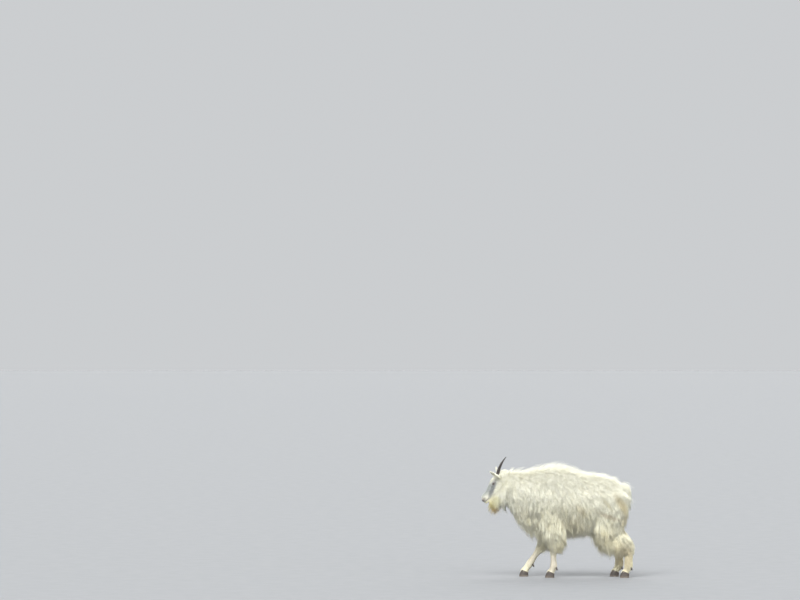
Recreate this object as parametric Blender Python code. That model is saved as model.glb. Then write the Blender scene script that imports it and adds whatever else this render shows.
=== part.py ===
"""A life-size mountain goat in its long coat, walking, facing -X, with its hooves on z = 0.

Metres, +Z up. The goat's left side is -Y. The origin is on the floor under the middle of the model.
The body is modelled whole from lofts through stations, parted by thin cuts, and each part then carries
the locks of coat that grow from it.
"""

import math
import random

import bmesh
import bpy
import numpy as np
from mathutils import Matrix, Vector
from mathutils.bvhtree import BVHTree

# Driving dimensions

GAP = 0.0003  # between parts that touch
LEG_TOP = 0.465  # where the legs leave the trunk
EYE_RADIUS = 0.0120
EYE = Vector((-0.600, 0.0425, 0.860))
EYE_OPENING = (0.0122, 0.0085)  # half length and half height
LID_THICKNESS = 0.0035
EAR_THICKNESS = 0.0050
HORN_ROOT = (-0.566, 0.024, 0.912)
HORN_LENGTH = 0.215
HORN_RADIUS = 0.0185
HORN_POINT = 0.0015  # radius at the tip
HORN_STEPS = 7
HORN_BEND = (0.10, 0.62)  # lean back at the root, and how much more at the tip, in radians
HORN_SPREAD = 0.10  # how far outwards the horns lean
EAR_WIDTH = 0.050
EAR_COLUMNS = 5  # points across the back of an ear, and as many across its inside
CLAW_LENGTH = 0.082
CLAW_WIDTH = 0.029
CLAW_SPLIT = 0.004  # between the two claws of a foot
CLAW_HEIGHT = 0.075  # before the coronet cuts it off
CLAW_SIDES = 14
TOE_AHEAD = 0.006  # how far the middle of a hoof lies before the middle of its coronet
CORONET_SLOPE = 0.30  # the top of the hoof falls towards the heel by this much for each metre
LOCK_SINK = 0.018  # how deep a lock's root lies in the wool
LOCK_THICKNESS = 0.018  # at the root
MUZZLE = Vector((-0.6935, 0, 0.6975))  # the front end of the head's axis
FACE_AXIS = Vector((0.718, 0, 0.696))  # from the muzzle to the crown
FACE_UP = Vector((-0.696, 0, 0.718))  # from the axis to the bridge of the nose

BACK = Vector((1, 0, 0))
DOWN = Vector((0, 0, -1))
SIDEWAYS = Vector((0, 1, 0))
CLEAR = 0.6  # far enough from the middle of the body to be outside it

# The mouth: upper and lower lip as distance along the face, height above its axis and half sizes
LIPS = [
    (0.024, -0.001, (0.027, 0.0385, 0.017)),
    (0.030, -0.027, (0.028, 0.0300, 0.014)),
]
MOUTH_LINE = [(-0.030, -0.0130), (-0.030, -0.0175), (0.058, -0.0160), (0.066, -0.0130)]
NOSTRIL = (0.004, 0.011, 0.0215)  # along the face, above its axis, to the side
NOSTRIL_SIZE = (0.010, 0.0042, 0.0055)
NOSTRIL_TURN = 0.7

# Ears: name, root, tip and side, then the rings of an ear as share of its length, of its width, and half arc
EARS = [
    ("left", (-0.541, -0.056, 0.899), (-0.630, -0.110, 0.972), -1),
    ("right", (-0.539, 0.056, 0.900), (-0.572, 0.112, 1.004), 1),
]
EAR_RINGS = [
    (0.00, 0.50, 82),
    (0.12, 0.66, 82),
    (0.30, 0.92, 76),
    (0.50, 1.00, 68),
    (0.70, 0.86, 60),
    (0.87, 0.52, 52),
    (1.00, 0.14, 46),
]

# A hoof's rings from the ground up: share of length, share of width, height, how far back
HOOF_RINGS = [
    (0.93, 0.92, 0.000, 0.000),
    (1.00, 1.00, 0.005, 0.000),
    (0.90, 0.98, 0.030, 0.004),
    (0.72, 0.92, CLAW_HEIGHT, 0.011),
]

WOOL = (0.78, 0.72, 0.60)
SHIN = (0.60, 0.50, 0.38)
BLACK = (0.018, 0.016, 0.015)

# Among this many crossing locks the exact solver loses the inside of the neck
COAT_SOLVER = "MANIFOLD"

# Stations of the skin: x, y, z, half width, half depth, and the depth of the wool over it

TRUNK = [
    (-0.285, 0, 0.700, 0.060, 0.095, 0.012),
    (-0.235, 0, 0.712, 0.108, 0.172, 0.020),
    (-0.150, 0, 0.726, 0.138, 0.218, 0.026),
    (-0.020, 0, 0.738, 0.150, 0.242, 0.030),
    (0.120, 0, 0.714, 0.160, 0.224, 0.020),
    (0.250, 0, 0.703, 0.162, 0.206, 0.018),
    (0.380, 0, 0.706, 0.155, 0.202, 0.018),
    (0.490, 0, 0.722, 0.143, 0.155, 0.018),
    (0.560, 0, 0.735, 0.112, 0.112, 0.014),
    (0.600, 0, 0.745, 0.060, 0.060, 0.010),
]
NECK = [
    (-0.520, 0, 0.868, 0.062, 0.080, 0.014),
    (-0.450, 0, 0.838, 0.078, 0.112, 0.022),
    (-0.360, 0, 0.800, 0.094, 0.146, 0.030),
    (-0.260, 0, 0.765, 0.114, 0.188, 0.034),
    (-0.160, 0, 0.755, 0.130, 0.206, 0.030),
    (-0.080, 0, 0.745, 0.120, 0.190, 0.010),
]
HEAD = [
    (-0.694, 0, 0.697, 0.018, 0.015, 0.001),
    (-0.686, 0, 0.704, 0.031, 0.028, 0.002),
    (-0.668, 0, 0.720, 0.037, 0.037, 0.003),
    (-0.645, 0, 0.743, 0.037, 0.044, 0.003),
    (-0.618, 0, 0.771, 0.044, 0.055, 0.004),
    (-0.590, 0, 0.803, 0.055, 0.070, 0.005),
    (-0.560, 0, 0.836, 0.062, 0.084, 0.006),
    (-0.530, 0, 0.866, 0.061, 0.084, 0.008),
    (-0.500, 0, 0.886, 0.052, 0.074, 0.010),
]
TAIL = [
    (0.560, 0, 0.830, 0.030, 0.030, 0.010),
    (0.600, 0, 0.834, 0.026, 0.024, 0.010),
    (0.630, 0, 0.808, 0.022, 0.020, 0.010),
    (0.640, 0, 0.765, 0.018, 0.016, 0.008),
    (0.640, 0, 0.725, 0.008, 0.008, 0.005),
]

# Stations of each leg: x, z, half width, half depth, wool. The last three are fetlock, pastern and coronet.

FORE_STANDING = [
    (-0.070, 0.740, 0.035, 0.085, 0.008),
    (-0.078, 0.640, 0.052, 0.098, 0.018),
    (-0.055, 0.540, 0.054, 0.080, 0.028),
    (-0.046, 0.450, 0.044, 0.056, 0.034),
    (-0.050, 0.360, 0.034, 0.040, 0.020),
    (-0.056, 0.290, 0.032, 0.035, 0.010),
    (-0.053, 0.240, 0.026, 0.028, 0.007),
    (-0.050, 0.170, 0.022, 0.023, 0.006),
    (-0.048, 0.108, 0.028, 0.030, 0.006),
    (-0.062, 0.070, 0.025, 0.026, 0.005),
    (-0.078, 0.044, 0.030, 0.034, 0.004),
]
FORE_REACHING = [
    (-0.080, 0.740, 0.035, 0.085, 0.008),
    (-0.088, 0.640, 0.052, 0.098, 0.018),
    (-0.072, 0.540, 0.054, 0.080, 0.028),
    (-0.082, 0.450, 0.044, 0.056, 0.034),
    (-0.114, 0.365, 0.034, 0.040, 0.020),
    (-0.146, 0.298, 0.032, 0.035, 0.010),
    (-0.176, 0.250, 0.026, 0.028, 0.007),
    (-0.218, 0.188, 0.022, 0.023, 0.006),
    (-0.257, 0.128, 0.028, 0.030, 0.006),
    (-0.290, 0.082, 0.025, 0.026, 0.005),
    (-0.312, 0.046, 0.030, 0.034, 0.004),
]
HIND_TRAILING = [
    (0.470, 0.780, 0.050, 0.110, 0.010),
    (0.472, 0.680, 0.064, 0.140, 0.018),
    (0.452, 0.570, 0.062, 0.135, 0.026),
    (0.468, 0.470, 0.050, 0.098, 0.032),
    (0.535, 0.385, 0.038, 0.058, 0.024),
    (0.600, 0.325, 0.031, 0.038, 0.012),
    (0.634, 0.280, 0.031, 0.039, 0.008),
    (0.640, 0.235, 0.028, 0.033, 0.009),
    (0.638, 0.170, 0.025, 0.030, 0.009),
    (0.638, 0.108, 0.029, 0.033, 0.009),
    (0.624, 0.070, 0.025, 0.026, 0.005),
    (0.608, 0.044, 0.030, 0.034, 0.004),
]
HIND_LEADING = [
    (0.470, 0.780, 0.050, 0.110, 0.010),
    (0.468, 0.680, 0.064, 0.140, 0.018),
    (0.436, 0.570, 0.062, 0.135, 0.026),
    (0.430, 0.470, 0.050, 0.098, 0.032),
    (0.480, 0.385, 0.038, 0.058, 0.024),
    (0.532, 0.325, 0.031, 0.038, 0.012),
    (0.560, 0.280, 0.031, 0.039, 0.008),
    (0.563, 0.235, 0.028, 0.033, 0.009),
    (0.562, 0.170, 0.025, 0.030, 0.009),
    (0.560, 0.108, 0.029, 0.033, 0.009),
    (0.540, 0.070, 0.025, 0.026, 0.005),
    (0.524, 0.044, 0.030, 0.034, 0.004),
]
LEG_SPREAD_TOP = 0.100
LEG_SPREAD_FOOT = 0.092

# Each leg: name, stations, side, and the station that its upper and lower parts meet at
LEGS = [
    ("fore_left", FORE_STANDING, -1, 6),
    ("fore_right", FORE_REACHING, 1, 6),
    ("hind_left", HIND_TRAILING, -1, 5),
    ("hind_right", HIND_LEADING, 1, 5),
]

# Outlines in x and z of the space that each part's coat may fill
FORE_SPACE = [
    (-0.190, LEG_TOP),
    (0.088, LEG_TOP),
    (0.088, -0.02),
    (-0.45, -0.02),
    (-0.45, 0.15),
    (-0.235, 0.33),
]
HIND_SPACE = [(0.270, LEG_TOP), (0.760, LEG_TOP), (0.760, -0.02), (0.270, -0.02)]
TAIL_SPACE = [(0.606, 0.92), (0.760, 0.92), (0.760, 0.50), (0.640, 0.50), (0.622, 0.80)]
TAIL_SPACE_WIDTH = 0.058
LEG_SPACE_SIDES = (0.012, 0.330)  # from this far off the middle to this far
HEAD_END = (Vector((-0.505, 0, 0.80)), Vector((-1, 0, -0.05)))
NECK_END = (Vector((-0.265, 0, 0.72)), Vector((-0.97, 0, 0.24)))


# Shapes


def clear_scene():
    for obj in list(bpy.data.objects):
        bpy.data.objects.remove(obj, do_unlink=True)


def solid(name, points, faces):
    """A mesh object with its faces pointing out."""
    mesh = bpy.data.meshes.new(name)
    mesh.from_pydata([tuple(p) for p in points], [], faces)
    shape = bmesh.new()
    shape.from_mesh(mesh)
    bmesh.ops.recalc_face_normals(shape, faces=shape.faces)
    shape.to_mesh(mesh)
    shape.free()
    obj = bpy.data.objects.new(name, mesh)
    bpy.context.scene.collection.objects.link(obj)
    return obj


def spline(stations, per_span):
    """Rows read from a smooth curve through the stations."""
    rows = np.array(stations, float)
    ends = np.vstack([2 * rows[0] - rows[1], rows, 2 * rows[-1] - rows[-2]])
    read = []
    for i in range(len(rows) - 1):
        a, b, c, d = ends[i : i + 4]
        for t in np.linspace(0, 1, per_span, endpoint=False):
            bend = (2 * a - 5 * b + 4 * c - d) * t**2 + (3 * b - a - 3 * c + d) * t**3
            read.append(0.5 * (2 * b + (c - a) * t + bend))
    read.append(rows[-1])
    return np.array(read)


def axes_along(centres):
    """The direction of travel and the upper side at each centre of a line in a plane of constant y."""
    travel = np.gradient(centres, axis=0)
    travel /= np.linalg.norm(travel, axis=1)[:, None]
    upper = np.cross(travel, np.array(SIDEWAYS))
    return travel, upper / np.linalg.norm(upper, axis=1)[:, None]


def tube_faces(rings, sides):
    """Faces of a closed tube whose last two points are the middles of its ends."""
    faces = []
    for i in range(rings - 1):
        for j in range(sides):
            k = (j + 1) % sides
            faces.append((i * sides + j, i * sides + k, (i + 1) * sides + k, (i + 1) * sides + j))
    first, last = rings * sides, rings * sides + 1
    for j in range(sides):
        k = (j + 1) % sides
        faces.append((first, k, j))
        faces.append((last, (rings - 1) * sides + j, (rings - 1) * sides + k))
    return faces


def loft(name, stations, per_span, sides, narrow_top=0.0, narrow_low=0.0, wool=1.0, grow=0.0):
    """A closed round body through the stations, with its share of the wool, grown by a little where asked."""
    rows = spline(stations, per_span)
    centres = rows[:, :3]
    _, upper = axes_along(centres)
    angle = np.linspace(0, 2 * math.pi, sides, endpoint=False)
    rise = np.sin(angle)
    narrowing = 1 - narrow_top * np.clip(rise, 0, 1) ** 2 - narrow_low * np.clip(-rise, 0, 1) ** 2
    points = []
    for centre, up, row in zip(centres, upper, rows):
        extra = row[5] * wool + grow
        for turn, height, share in zip(np.cos(angle), rise, narrowing):
            out = np.array(SIDEWAYS) * turn * share * (row[3] + extra)
            points.append(centre + out + up * height * (row[4] + extra))
    points += [centres[0], centres[-1]]
    return solid(name, points, tube_faces(len(rows), sides))


def tube(name, path, radii, sides):
    """A closed tube along a bent path in space."""
    path = [Vector(p) for p in path]
    points = []
    side = None
    for i, centre in enumerate(path):
        travel = (path[min(i + 1, len(path) - 1)] - path[max(i - 1, 0)]).normalized()
        guide = side or (SIDEWAYS if abs(travel.y) < 0.7 else BACK)
        side = (guide - travel * guide.dot(travel)).normalized()
        across = travel.cross(side)
        for j in range(sides):
            a = 2 * math.pi * j / sides
            points.append(centre + (side * math.cos(a) + across * math.sin(a)) * radii[i])
    points += [path[0], path[-1]]
    return solid(name, points, tube_faces(len(path), sides))


def ball(name, centre, radii, turn=None, rings=6, sides=12):
    """An ellipsoid with the given half sizes along its own axes."""
    turn = turn or Matrix.Identity(3)
    shape = bmesh.new()
    bmesh.ops.create_uvsphere(shape, u_segments=sides, v_segments=rings, radius=1.0)
    for vertex in shape.verts:
        scaled = Vector((vertex.co.x * radii[0], vertex.co.y * radii[1], vertex.co.z * radii[2]))
        vertex.co = turn @ scaled + Vector(centre)
    mesh = bpy.data.meshes.new(name)
    shape.to_mesh(mesh)
    shape.free()
    obj = bpy.data.objects.new(name, mesh)
    bpy.context.scene.collection.objects.link(obj)
    return obj


def prism(name, outline, low, high, grow=0.0):
    """An outline in x and z, pushed out by a little where asked, between two values of y."""
    corners = [Vector((x, z)) for x, z in outline]
    area = sum(a.x * b.y - b.x * a.y for a, b in zip(corners, corners[1:] + corners[:1]))
    if area < 0:
        corners.reverse()
    pushed = []
    for i, corner in enumerate(corners):
        before = (corner - corners[i - 1]).normalized()
        after = (corners[(i + 1) % len(corners)] - corner).normalized()
        normals = [Vector((edge.y, -edge.x)) for edge in (before, after)]
        middle = (normals[0] + normals[1]).normalized()
        pushed.append(corner + middle * grow / middle.dot(normals[0]))
    count = len(pushed)
    points = [(p.x, low - grow, p.y) for p in pushed] + [(p.x, high + grow, p.y) for p in pushed]
    faces = [tuple(range(count)), tuple(range(2 * count - 1, count - 1, -1))]
    faces += [(i, (i + 1) % count, (i + 1) % count + count, i + count) for i in range(count)]
    return solid(name, points, faces)


def block_beyond(name, point, normal):
    """A large block that fills the space on the far side of a plane."""
    reach = 3.0
    turn = Vector(normal).to_track_quat("Z", "Y").to_matrix()
    corners = [(x, y, z) for x in (-reach, reach) for y in (-reach, reach) for z in (0, reach)]
    points = [turn @ Vector(c) + Vector(point) for c in corners]
    faces = [(0, 1, 3, 2), (4, 6, 7, 5), (0, 4, 5, 1), (2, 3, 7, 6), (0, 2, 6, 4), (1, 5, 7, 3)]
    return solid(name, points, faces)


# Joining and cutting


def settle(obj):
    """The object's modifiers become its mesh."""
    shown = obj.evaluated_get(bpy.context.evaluated_depsgraph_get())
    mesh = bpy.data.meshes.new_from_object(shown)
    obj.modifiers.clear()
    old = obj.data
    obj.data = mesh
    bpy.data.meshes.remove(old)


def combine(obj, others, operation, solver="EXACT"):
    """Joins, cuts or crosses an object with others, which are used up."""
    group = bpy.data.collections.new("operands")
    bpy.context.scene.collection.children.link(group)
    for other in others:
        group.objects.link(other)
    change = obj.modifiers.new("combine", "BOOLEAN")
    change.operation = operation
    change.solver = solver
    change.operand_type = "COLLECTION"
    change.collection = group
    settle(obj)
    for other in others:
        bpy.data.objects.remove(other, do_unlink=True)
    bpy.data.collections.remove(group)


def keep_largest(obj):
    """Drops every closed surface of the mesh but the one that holds most."""
    shape = bmesh.new()
    shape.from_mesh(obj.data)
    bmesh.ops.triangulate(shape, faces=shape.faces)
    shape.verts.ensure_lookup_table()
    unseen = set(shape.verts)
    islands = []
    while unseen:
        island, edge = set(), [unseen.pop()]
        while edge:
            vertex = edge.pop()
            island.add(vertex)
            for link in vertex.link_edges:
                other = link.other_vert(vertex)
                if other in unseen:
                    unseen.discard(other)
                    edge.append(other)
        islands.append(island)

    def volume(island):
        faces = {face for vertex in island for face in vertex.link_faces}
        return sum(f.verts[0].co.dot(f.verts[1].co.cross(f.verts[2].co)) for f in faces) / 6

    largest = max(islands, key=volume)
    for island in islands:
        if island is not largest:
            bmesh.ops.delete(shape, geom=list(island), context="VERTS")
    shape.to_mesh(obj.data)
    shape.free()


def copy_of(obj, name):
    copy = bpy.data.objects.new(name, obj.data.copy())
    bpy.context.scene.collection.objects.link(copy)
    return copy


def keep_side(obj, plane, gap=0.0, solver="EXACT"):
    """Cuts off what lies behind a plane, and a gap more."""
    point, normal = plane
    unit = Vector(normal).normalized()
    combine(obj, [block_beyond("cut", point + unit * gap, -unit)], "DIFFERENCE", solver)


def surface_of(obj):
    """The faces of an object, for finding points on them."""
    mesh = obj.data
    mesh.calc_loop_triangles()
    points = [v.co.copy() for v in mesh.vertices]
    return BVHTree.FromPolygons(points, [tuple(t.vertices) for t in mesh.loop_triangles])


# Coat

# Rows of locks down the sides of trunk and neck: angle above the side, length, width, lift off the
# body, and how much the hair runs back
ROWS = [
    (77, 0.160, 0.098, 0.26, 1.80),
    (51, 0.190, 0.112, 0.30, 0.62),
    (23, 0.210, 0.116, 0.28, 0.34),
    (-6, 0.215, 0.114, 0.27, 0.22),
    (-36, 0.200, 0.104, 0.30, 0.12),
]
COLUMNS = (-0.472, 0.540, 0.132)  # from x, to x, spacing
OVER_LEG = [1, 1, 1, 0.88, 0.62]  # how much of each row's length is left where it ends over a leg
OVER_FORE_LEG = (-0.200, 0.055)  # from x, to x
OVER_HIND_LEG = 0.290  # from x on
SHORT_NECK = [(-0.50, 0.70), (-0.36, 1.0)]  # x, and share of the length near the head
# Crest along the ridge: from x, to x, spacing, length, width, how steeply it rises
CREST = [
    (-0.495, -0.290, 0.050, 0.105, 0.054, 0.34),
    (-0.245, 0.035, 0.046, 0.135, 0.064, 0.62),
    (0.090, 0.500, 0.075, 0.125, 0.062, 0.20),
]
# Hair that hangs under the throat, the brisket and the belly: from x, to x, spacing, length, width
HANGING = [
    (-0.470, -0.400, 0.042, 0.120, 0.056),
    (-0.365, -0.140, 0.044, 0.200, 0.062),
    (0.092, 0.262, 0.056, 0.135, 0.064),
]
RUMP_HEIGHTS = [0.830, 0.720, 0.610]
RUMP_ANGLES = [20, 56]  # round from the back
RUMP_STAGGER = 14
RUMP_MIDDLE = (0.440, 0.045)  # x and y of the axis that the rump's rows go round
RUMP_LENGTH = 0.170
RUMP_WIDTH = 0.100
# Rows round a leg: height, how many, length in front and behind, width
FORE_COAT = [
    (0.452, 7, 0.205, 0.240, 0.084),
    (0.375, 5, 0.140, 0.160, 0.068),
]
HIND_COAT = [
    (0.454, 7, 0.230, 0.150, 0.098),
    (0.395, 5, 0.215, 0.120, 0.084),
    (0.340, 3, 0.145, 0.085, 0.068),
]
LEG_REACH = (0.22, 0.098)  # how far from the middle of a leg its skin is looked for
LEG_LIFT = 0.60
FORE_LEAN = 0.10  # how much a leg's hair runs back
HIND_LEAN = 0.42
HOCK_TUFTS = 3
HOCK_HEIGHT = 0.290
HOCK_SIZE = (0.060, 0.034)
# Beard along the underside of the jaw: distance from the muzzle along the face, length
BEARD = [(0.050, 0.080), (0.076, 0.112), (0.102, 0.142), (0.128, 0.142), (0.156, 0.118)]
BEARD_WIDTH = 0.052
# Tuft on the crown: x, y, length
CROWN = [(-0.556, 0.000, 0.046), (-0.540, -0.026, 0.060), (-0.536, 0.024, 0.060), (-0.518, 0.000, 0.065)]
CROWN_WIDTH = 0.050
# Rows down the tail: height, length
TAIL_ROWS = [(0.832, 0.130), (0.780, 0.165)]
TAIL_MIDDLE = 0.630
TAIL_TURN = 62
TAIL_WIDTH = 0.052


def lock(start, out, begin, end, length, width, rings, thickness=LOCK_THICKNESS):
    """One flat lock that turns from one heading to another and tapers to a point, its face towards out."""
    points = []
    centre = Vector(start)
    step = length / rings
    for i in range(rings):
        t = i / rings
        heading = (begin * (1 - t) ** 1.5 + end * (1 - (1 - t) ** 1.5)).normalized()
        flat = heading.cross(out).normalized()
        up = flat.cross(heading)
        swell = 0.72 + 0.70 * t if t < 0.4 else 1.0 - 0.78 * (t - 0.4) / 0.6
        half = width / 2 * swell
        depth = thickness * (1.0 - 0.70 * t)
        above, below = up * depth * 0.6, up * depth * 0.4
        points += [centre + flat * half, centre + above, centre - flat * half, centre - below]
        centre = centre + heading * step
    points.append(centre)
    faces = [(0, 1, 2, 3)]
    for i in range(rings - 1):
        for j in range(4):
            k = (j + 1) % 4
            faces.append((4 * i + j, 4 * i + k, 4 * i + 4 + k, 4 * i + 4 + j))
    last = 4 * (rings - 1)
    faces += [(last + j, last + (j + 1) % 4, last + 4) for j in range(4)]
    return solid("lock", points, faces)


def varied(chance, direction, spread):
    """A direction turned a little at random."""
    return direction + Vector([chance.uniform(-spread, spread) for _ in range(3)])


def lying_lock(surface, origin, reach, chance, length, width, lift, lie, droop=0.30, rings=3):
    """A lock that lies along the body, rooted where a ray from outside meets the surface."""
    hit, normal, _, _ = surface.ray_cast(origin + reach, -reach.normalized())
    if hit is None:
        return []
    lie = varied(chance, lie, 0.12)
    lie = (lie - normal * lie.dot(normal)).normalized()
    size = chance.uniform(0.86, 1.14)
    begin = normal * lift * chance.uniform(0.85, 1.2) + lie
    end = lie + DOWN * droop + normal * 0.04
    wide = width * chance.uniform(0.88, 1.12)
    return [lock(hit - normal * LOCK_SINK, normal, begin, end, length * size + LOCK_SINK, wide, rings)]


def standing_lock(surface, origin, reach, chance, length, width, face, begin, end, rings=3):
    """A lock that grows straight out from a ridge or hangs from below, with its face turned to one side."""
    hit, _, _, _ = surface.ray_cast(origin + reach, -reach.normalized())
    if hit is None:
        return []
    begin, end = varied(chance, begin, 0.10), varied(chance, end, 0.10)
    size = chance.uniform(0.88, 1.16)
    start = hit - begin.normalized() * LOCK_SINK
    return [lock(start, varied(chance, face, 0.25), begin, end, length * size + LOCK_SINK, width, rings)]


def places(start, end, spacing):
    return [start + i * spacing for i in range(int((end - start) / spacing + 1.001))]


def axis_at(x):
    """The middle of the trunk or neck at a place along it."""
    rows = NECK[:4] + TRUNK[2:]
    return Vector((x, 0, float(np.interp(x, [row[0] for row in rows], [row[2] for row in rows]))))


def over_leg(x):
    return OVER_FORE_LEG[0] < x < OVER_FORE_LEG[1] or x > OVER_HIND_LEG


def side_locks(surface):
    """Staggered rows of locks down both sides of the neck and the trunk."""
    chance = random.Random(7)
    grown = []
    first, last, spacing = COLUMNS
    for r, (angle, length, width, lift, back) in enumerate(ROWS):
        for x in places(first + spacing * 0.5 * (r % 2), last, spacing):
            for side in (-1, 1):
                here = x + chance.uniform(-0.014, 0.014)
                turn = math.radians(angle + chance.uniform(-5, 5))
                reach = Vector((0, side * math.cos(turn), math.sin(turn))) * CLEAR
                size = length * float(np.interp(here, *zip(*SHORT_NECK)))
                if over_leg(here):
                    size *= OVER_LEG[r]
                lie = BACK * back + DOWN
                grown += lying_lock(surface, axis_at(here), reach, chance, size, width, lift, lie)
    return grown


def crest_locks(surface):
    """The crest that stands along the nape, the withers and the back."""
    chance = random.Random(3)
    grown = []
    for start, end, spacing, length, width, steep in CREST:
        for i, x in enumerate(places(start, end, spacing)):
            side = (-1) ** i
            reach = Vector((0, side * 0.14, 1)) * CLEAR
            begin = Vector((0.80, side * 0.12, steep + 0.20))
            finish_at = Vector((1.0, side * 0.22, steep - 0.34))
            grown += standing_lock(
                surface, axis_at(x), reach, chance, length, width, Vector((0, side, 0.45)), begin, finish_at
            )
    return grown


def hanging_locks(surface):
    """The fringe under the throat, the brisket and the belly."""
    chance = random.Random(9)
    grown = []
    for start, end, spacing, length, width in HANGING:
        for i, x in enumerate(places(start, end, spacing)):
            side = (-1) ** i
            reach = Vector((0, side * 0.16, -1)) * CLEAR
            begin = Vector((-0.10, side * 0.15, -1))
            finish_at = Vector((0.30, 0, -1))
            grown += standing_lock(
                surface, axis_at(x), reach, chance, length, width, Vector((0, side, 0)), begin, finish_at
            )
    return grown


def rump_locks(surface):
    """Hair that hangs from the rump and down the back of both thighs."""
    chance = random.Random(13)
    grown = []
    lie = DOWN + BACK * 0.15
    for r, height in enumerate(RUMP_HEIGHTS):
        for angle in RUMP_ANGLES:
            for side in (-1, 1):
                turn = math.radians(angle + RUMP_STAGGER * (r % 2))
                reach = Vector((math.cos(turn), side * math.sin(turn), 0)) * CLEAR
                origin = Vector((RUMP_MIDDLE[0], side * RUMP_MIDDLE[1], height))
                grown += lying_lock(surface, origin, reach, chance, RUMP_LENGTH, RUMP_WIDTH, 0.30, lie)
    return grown


def leg_centre(rows, z):
    """The middle of a leg at a height."""
    heights = [row[2] for row in rows][::-1]
    return Vector([float(np.interp(z, heights, [row[i] for row in rows][::-1])) for i in (0, 1)] + [z])


def leg_locks(surface, stations, side, seed):
    """Hair that hangs round the upper leg, longest before the thigh and behind the forearm."""
    chance = random.Random(seed)
    rows = leg_rows(stations, side)
    coat, lean = (FORE_COAT, FORE_LEAN) if is_fore(stations) else (HIND_COAT, HIND_LEAN)
    grown = []
    for r, (height, count, before, behind, width) in enumerate(coat):
        for i in range(count):
            turn = 2 * math.pi * (i + 0.5 * (r % 2) + chance.uniform(-0.12, 0.12)) / count
            reach = Vector((-LEG_REACH[0] * math.cos(turn), LEG_REACH[1] * math.sin(turn), 0))
            length = before + (behind - before) * (1 - math.cos(turn)) / 2
            origin = leg_centre(rows, height + chance.uniform(-0.010, 0.010))
            grown += lying_lock(surface, origin, reach, chance, length, width, LEG_LIFT, DOWN + BACK * lean)
    return grown


def hock_locks(surface, stations, side):
    """The tuft behind the hock."""
    chance = random.Random(31)
    origin = leg_centre(leg_rows(stations, side), HOCK_HEIGHT)
    grown = []
    for i in range(HOCK_TUFTS):
        reach = Vector((1, 0.45 * (i - 1), 0.10)) * 0.2
        grown += lying_lock(surface, origin, reach, chance, *HOCK_SIZE, 0.55, DOWN, 0.1)
    return grown


def face_point(along, up, y=0.0):
    """A point of the head by its distance along the face from the muzzle and above its axis."""
    return MUZZLE + FACE_AXIS * along + FACE_UP * up + SIDEWAYS * y


def beard_locks(surface):
    """Pairs of locks that hang from the jaw."""
    chance = random.Random(5)
    grown = []
    for along, length in BEARD:
        for side in (-1, 1):
            reach = Vector((0, side * 0.30, -1)) * 0.3
            face = Vector((0, side, 0))
            origin = face_point(along, 0)
            begin = Vector((-0.05, side * 0.10, -1))
            finish_at = Vector((0.25, -side * 0.05, -1))
            grown += standing_lock(surface, origin, reach, chance, length, BEARD_WIDTH, face, begin, finish_at)
    return grown


def crown_locks(surface):
    """The tuft between the ears."""
    chance = random.Random(17)
    reach = Vector((0, 0, 0.3))
    grown = []
    for x, y, length in CROWN:
        face = Vector((0, 1 if y > 0 else -1, 0.6))
        begin, finish_at = Vector((0.25, y * 4, 1)), Vector((1, y * 8, 0.30))
        origin = Vector((x, y, 0.88))
        grown += standing_lock(surface, origin, reach, chance, length, CROWN_WIDTH, face, begin, finish_at)
    return grown


def tail_locks(surface):
    """Hair down the back and both sides of the tail."""
    chance = random.Random(11)
    grown = []
    for height, length in TAIL_ROWS:
        for angle in (-TAIL_TURN, 0, TAIL_TURN):
            turn = math.radians(angle)
            reach = Vector((math.cos(turn), math.sin(turn), 0.1)) * 0.3
            origin = Vector((TAIL_MIDDLE, 0, height))
            grown += lying_lock(surface, origin, reach, chance, length, TAIL_WIDTH, 0.15, DOWN, 0.6)
    return grown


# Parts


def is_fore(stations):
    return stations[0][0] < 0


def leg_rows(stations, side):
    """A leg's stations with its place across the body added."""
    rows = []
    for x, z, width, depth, wool in stations:
        share = min(max(z / stations[0][1], 0), 1)
        spread = LEG_SPREAD_FOOT + (LEG_SPREAD_TOP - LEG_SPREAD_FOOT) * share
        rows.append((x, side * spread, z, width, depth, wool))
    return rows


def leg_body(name, stations, side, sides=10, grow=0.0):
    """The whole leg, which runs on below the coronet."""
    rows = leg_rows(stations, side)
    x, y, z, width, depth, wool = rows[-1]
    return loft(name, rows + [(x - 0.018, y, z - 0.040, width, depth, wool)], 2, sides, grow=grow)


def leg_split(stations, side, meeting):
    """The plane between the upper and the lower part of a leg, facing down."""
    rows = leg_rows(stations, side)
    before, here, after = (Vector(rows[i][:3]) for i in (meeting - 1, meeting, meeting + 1))
    return here, (after - before).normalized()


def coronet(stations, side):
    """The plane between a lower leg and its hoof, facing down."""
    foot = Vector(leg_rows(stations, side)[-1][:3])
    return foot, Vector((-CORONET_SLOPE, 0, -1)).normalized()


def leg_space(stations, side, grow=0.0):
    """The room that one leg and its coat may fill under the trunk."""
    outline = FORE_SPACE if is_fore(stations) else HIND_SPACE
    low, high = sorted(side * reach for reach in LEG_SPACE_SIDES)
    return prism("space", outline, low, high, grow)


def tail_space(grow=0.0):
    return prism("space", TAIL_SPACE, -TAIL_SPACE_WIDTH, TAIL_SPACE_WIDTH, grow)


def make_body():
    """Trunk, neck and upper legs in one piece with their coat, to be parted."""
    body = loft("body", TRUNK, 2, 16, narrow_top=0.35)
    others = [loft("neck", NECK, 2, 14, narrow_top=0.25)]
    others += [leg_body("leg", stations, side) for _, stations, side, _ in LEGS]
    combine(body, others, "UNION", COAT_SOLVER)
    return body


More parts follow.
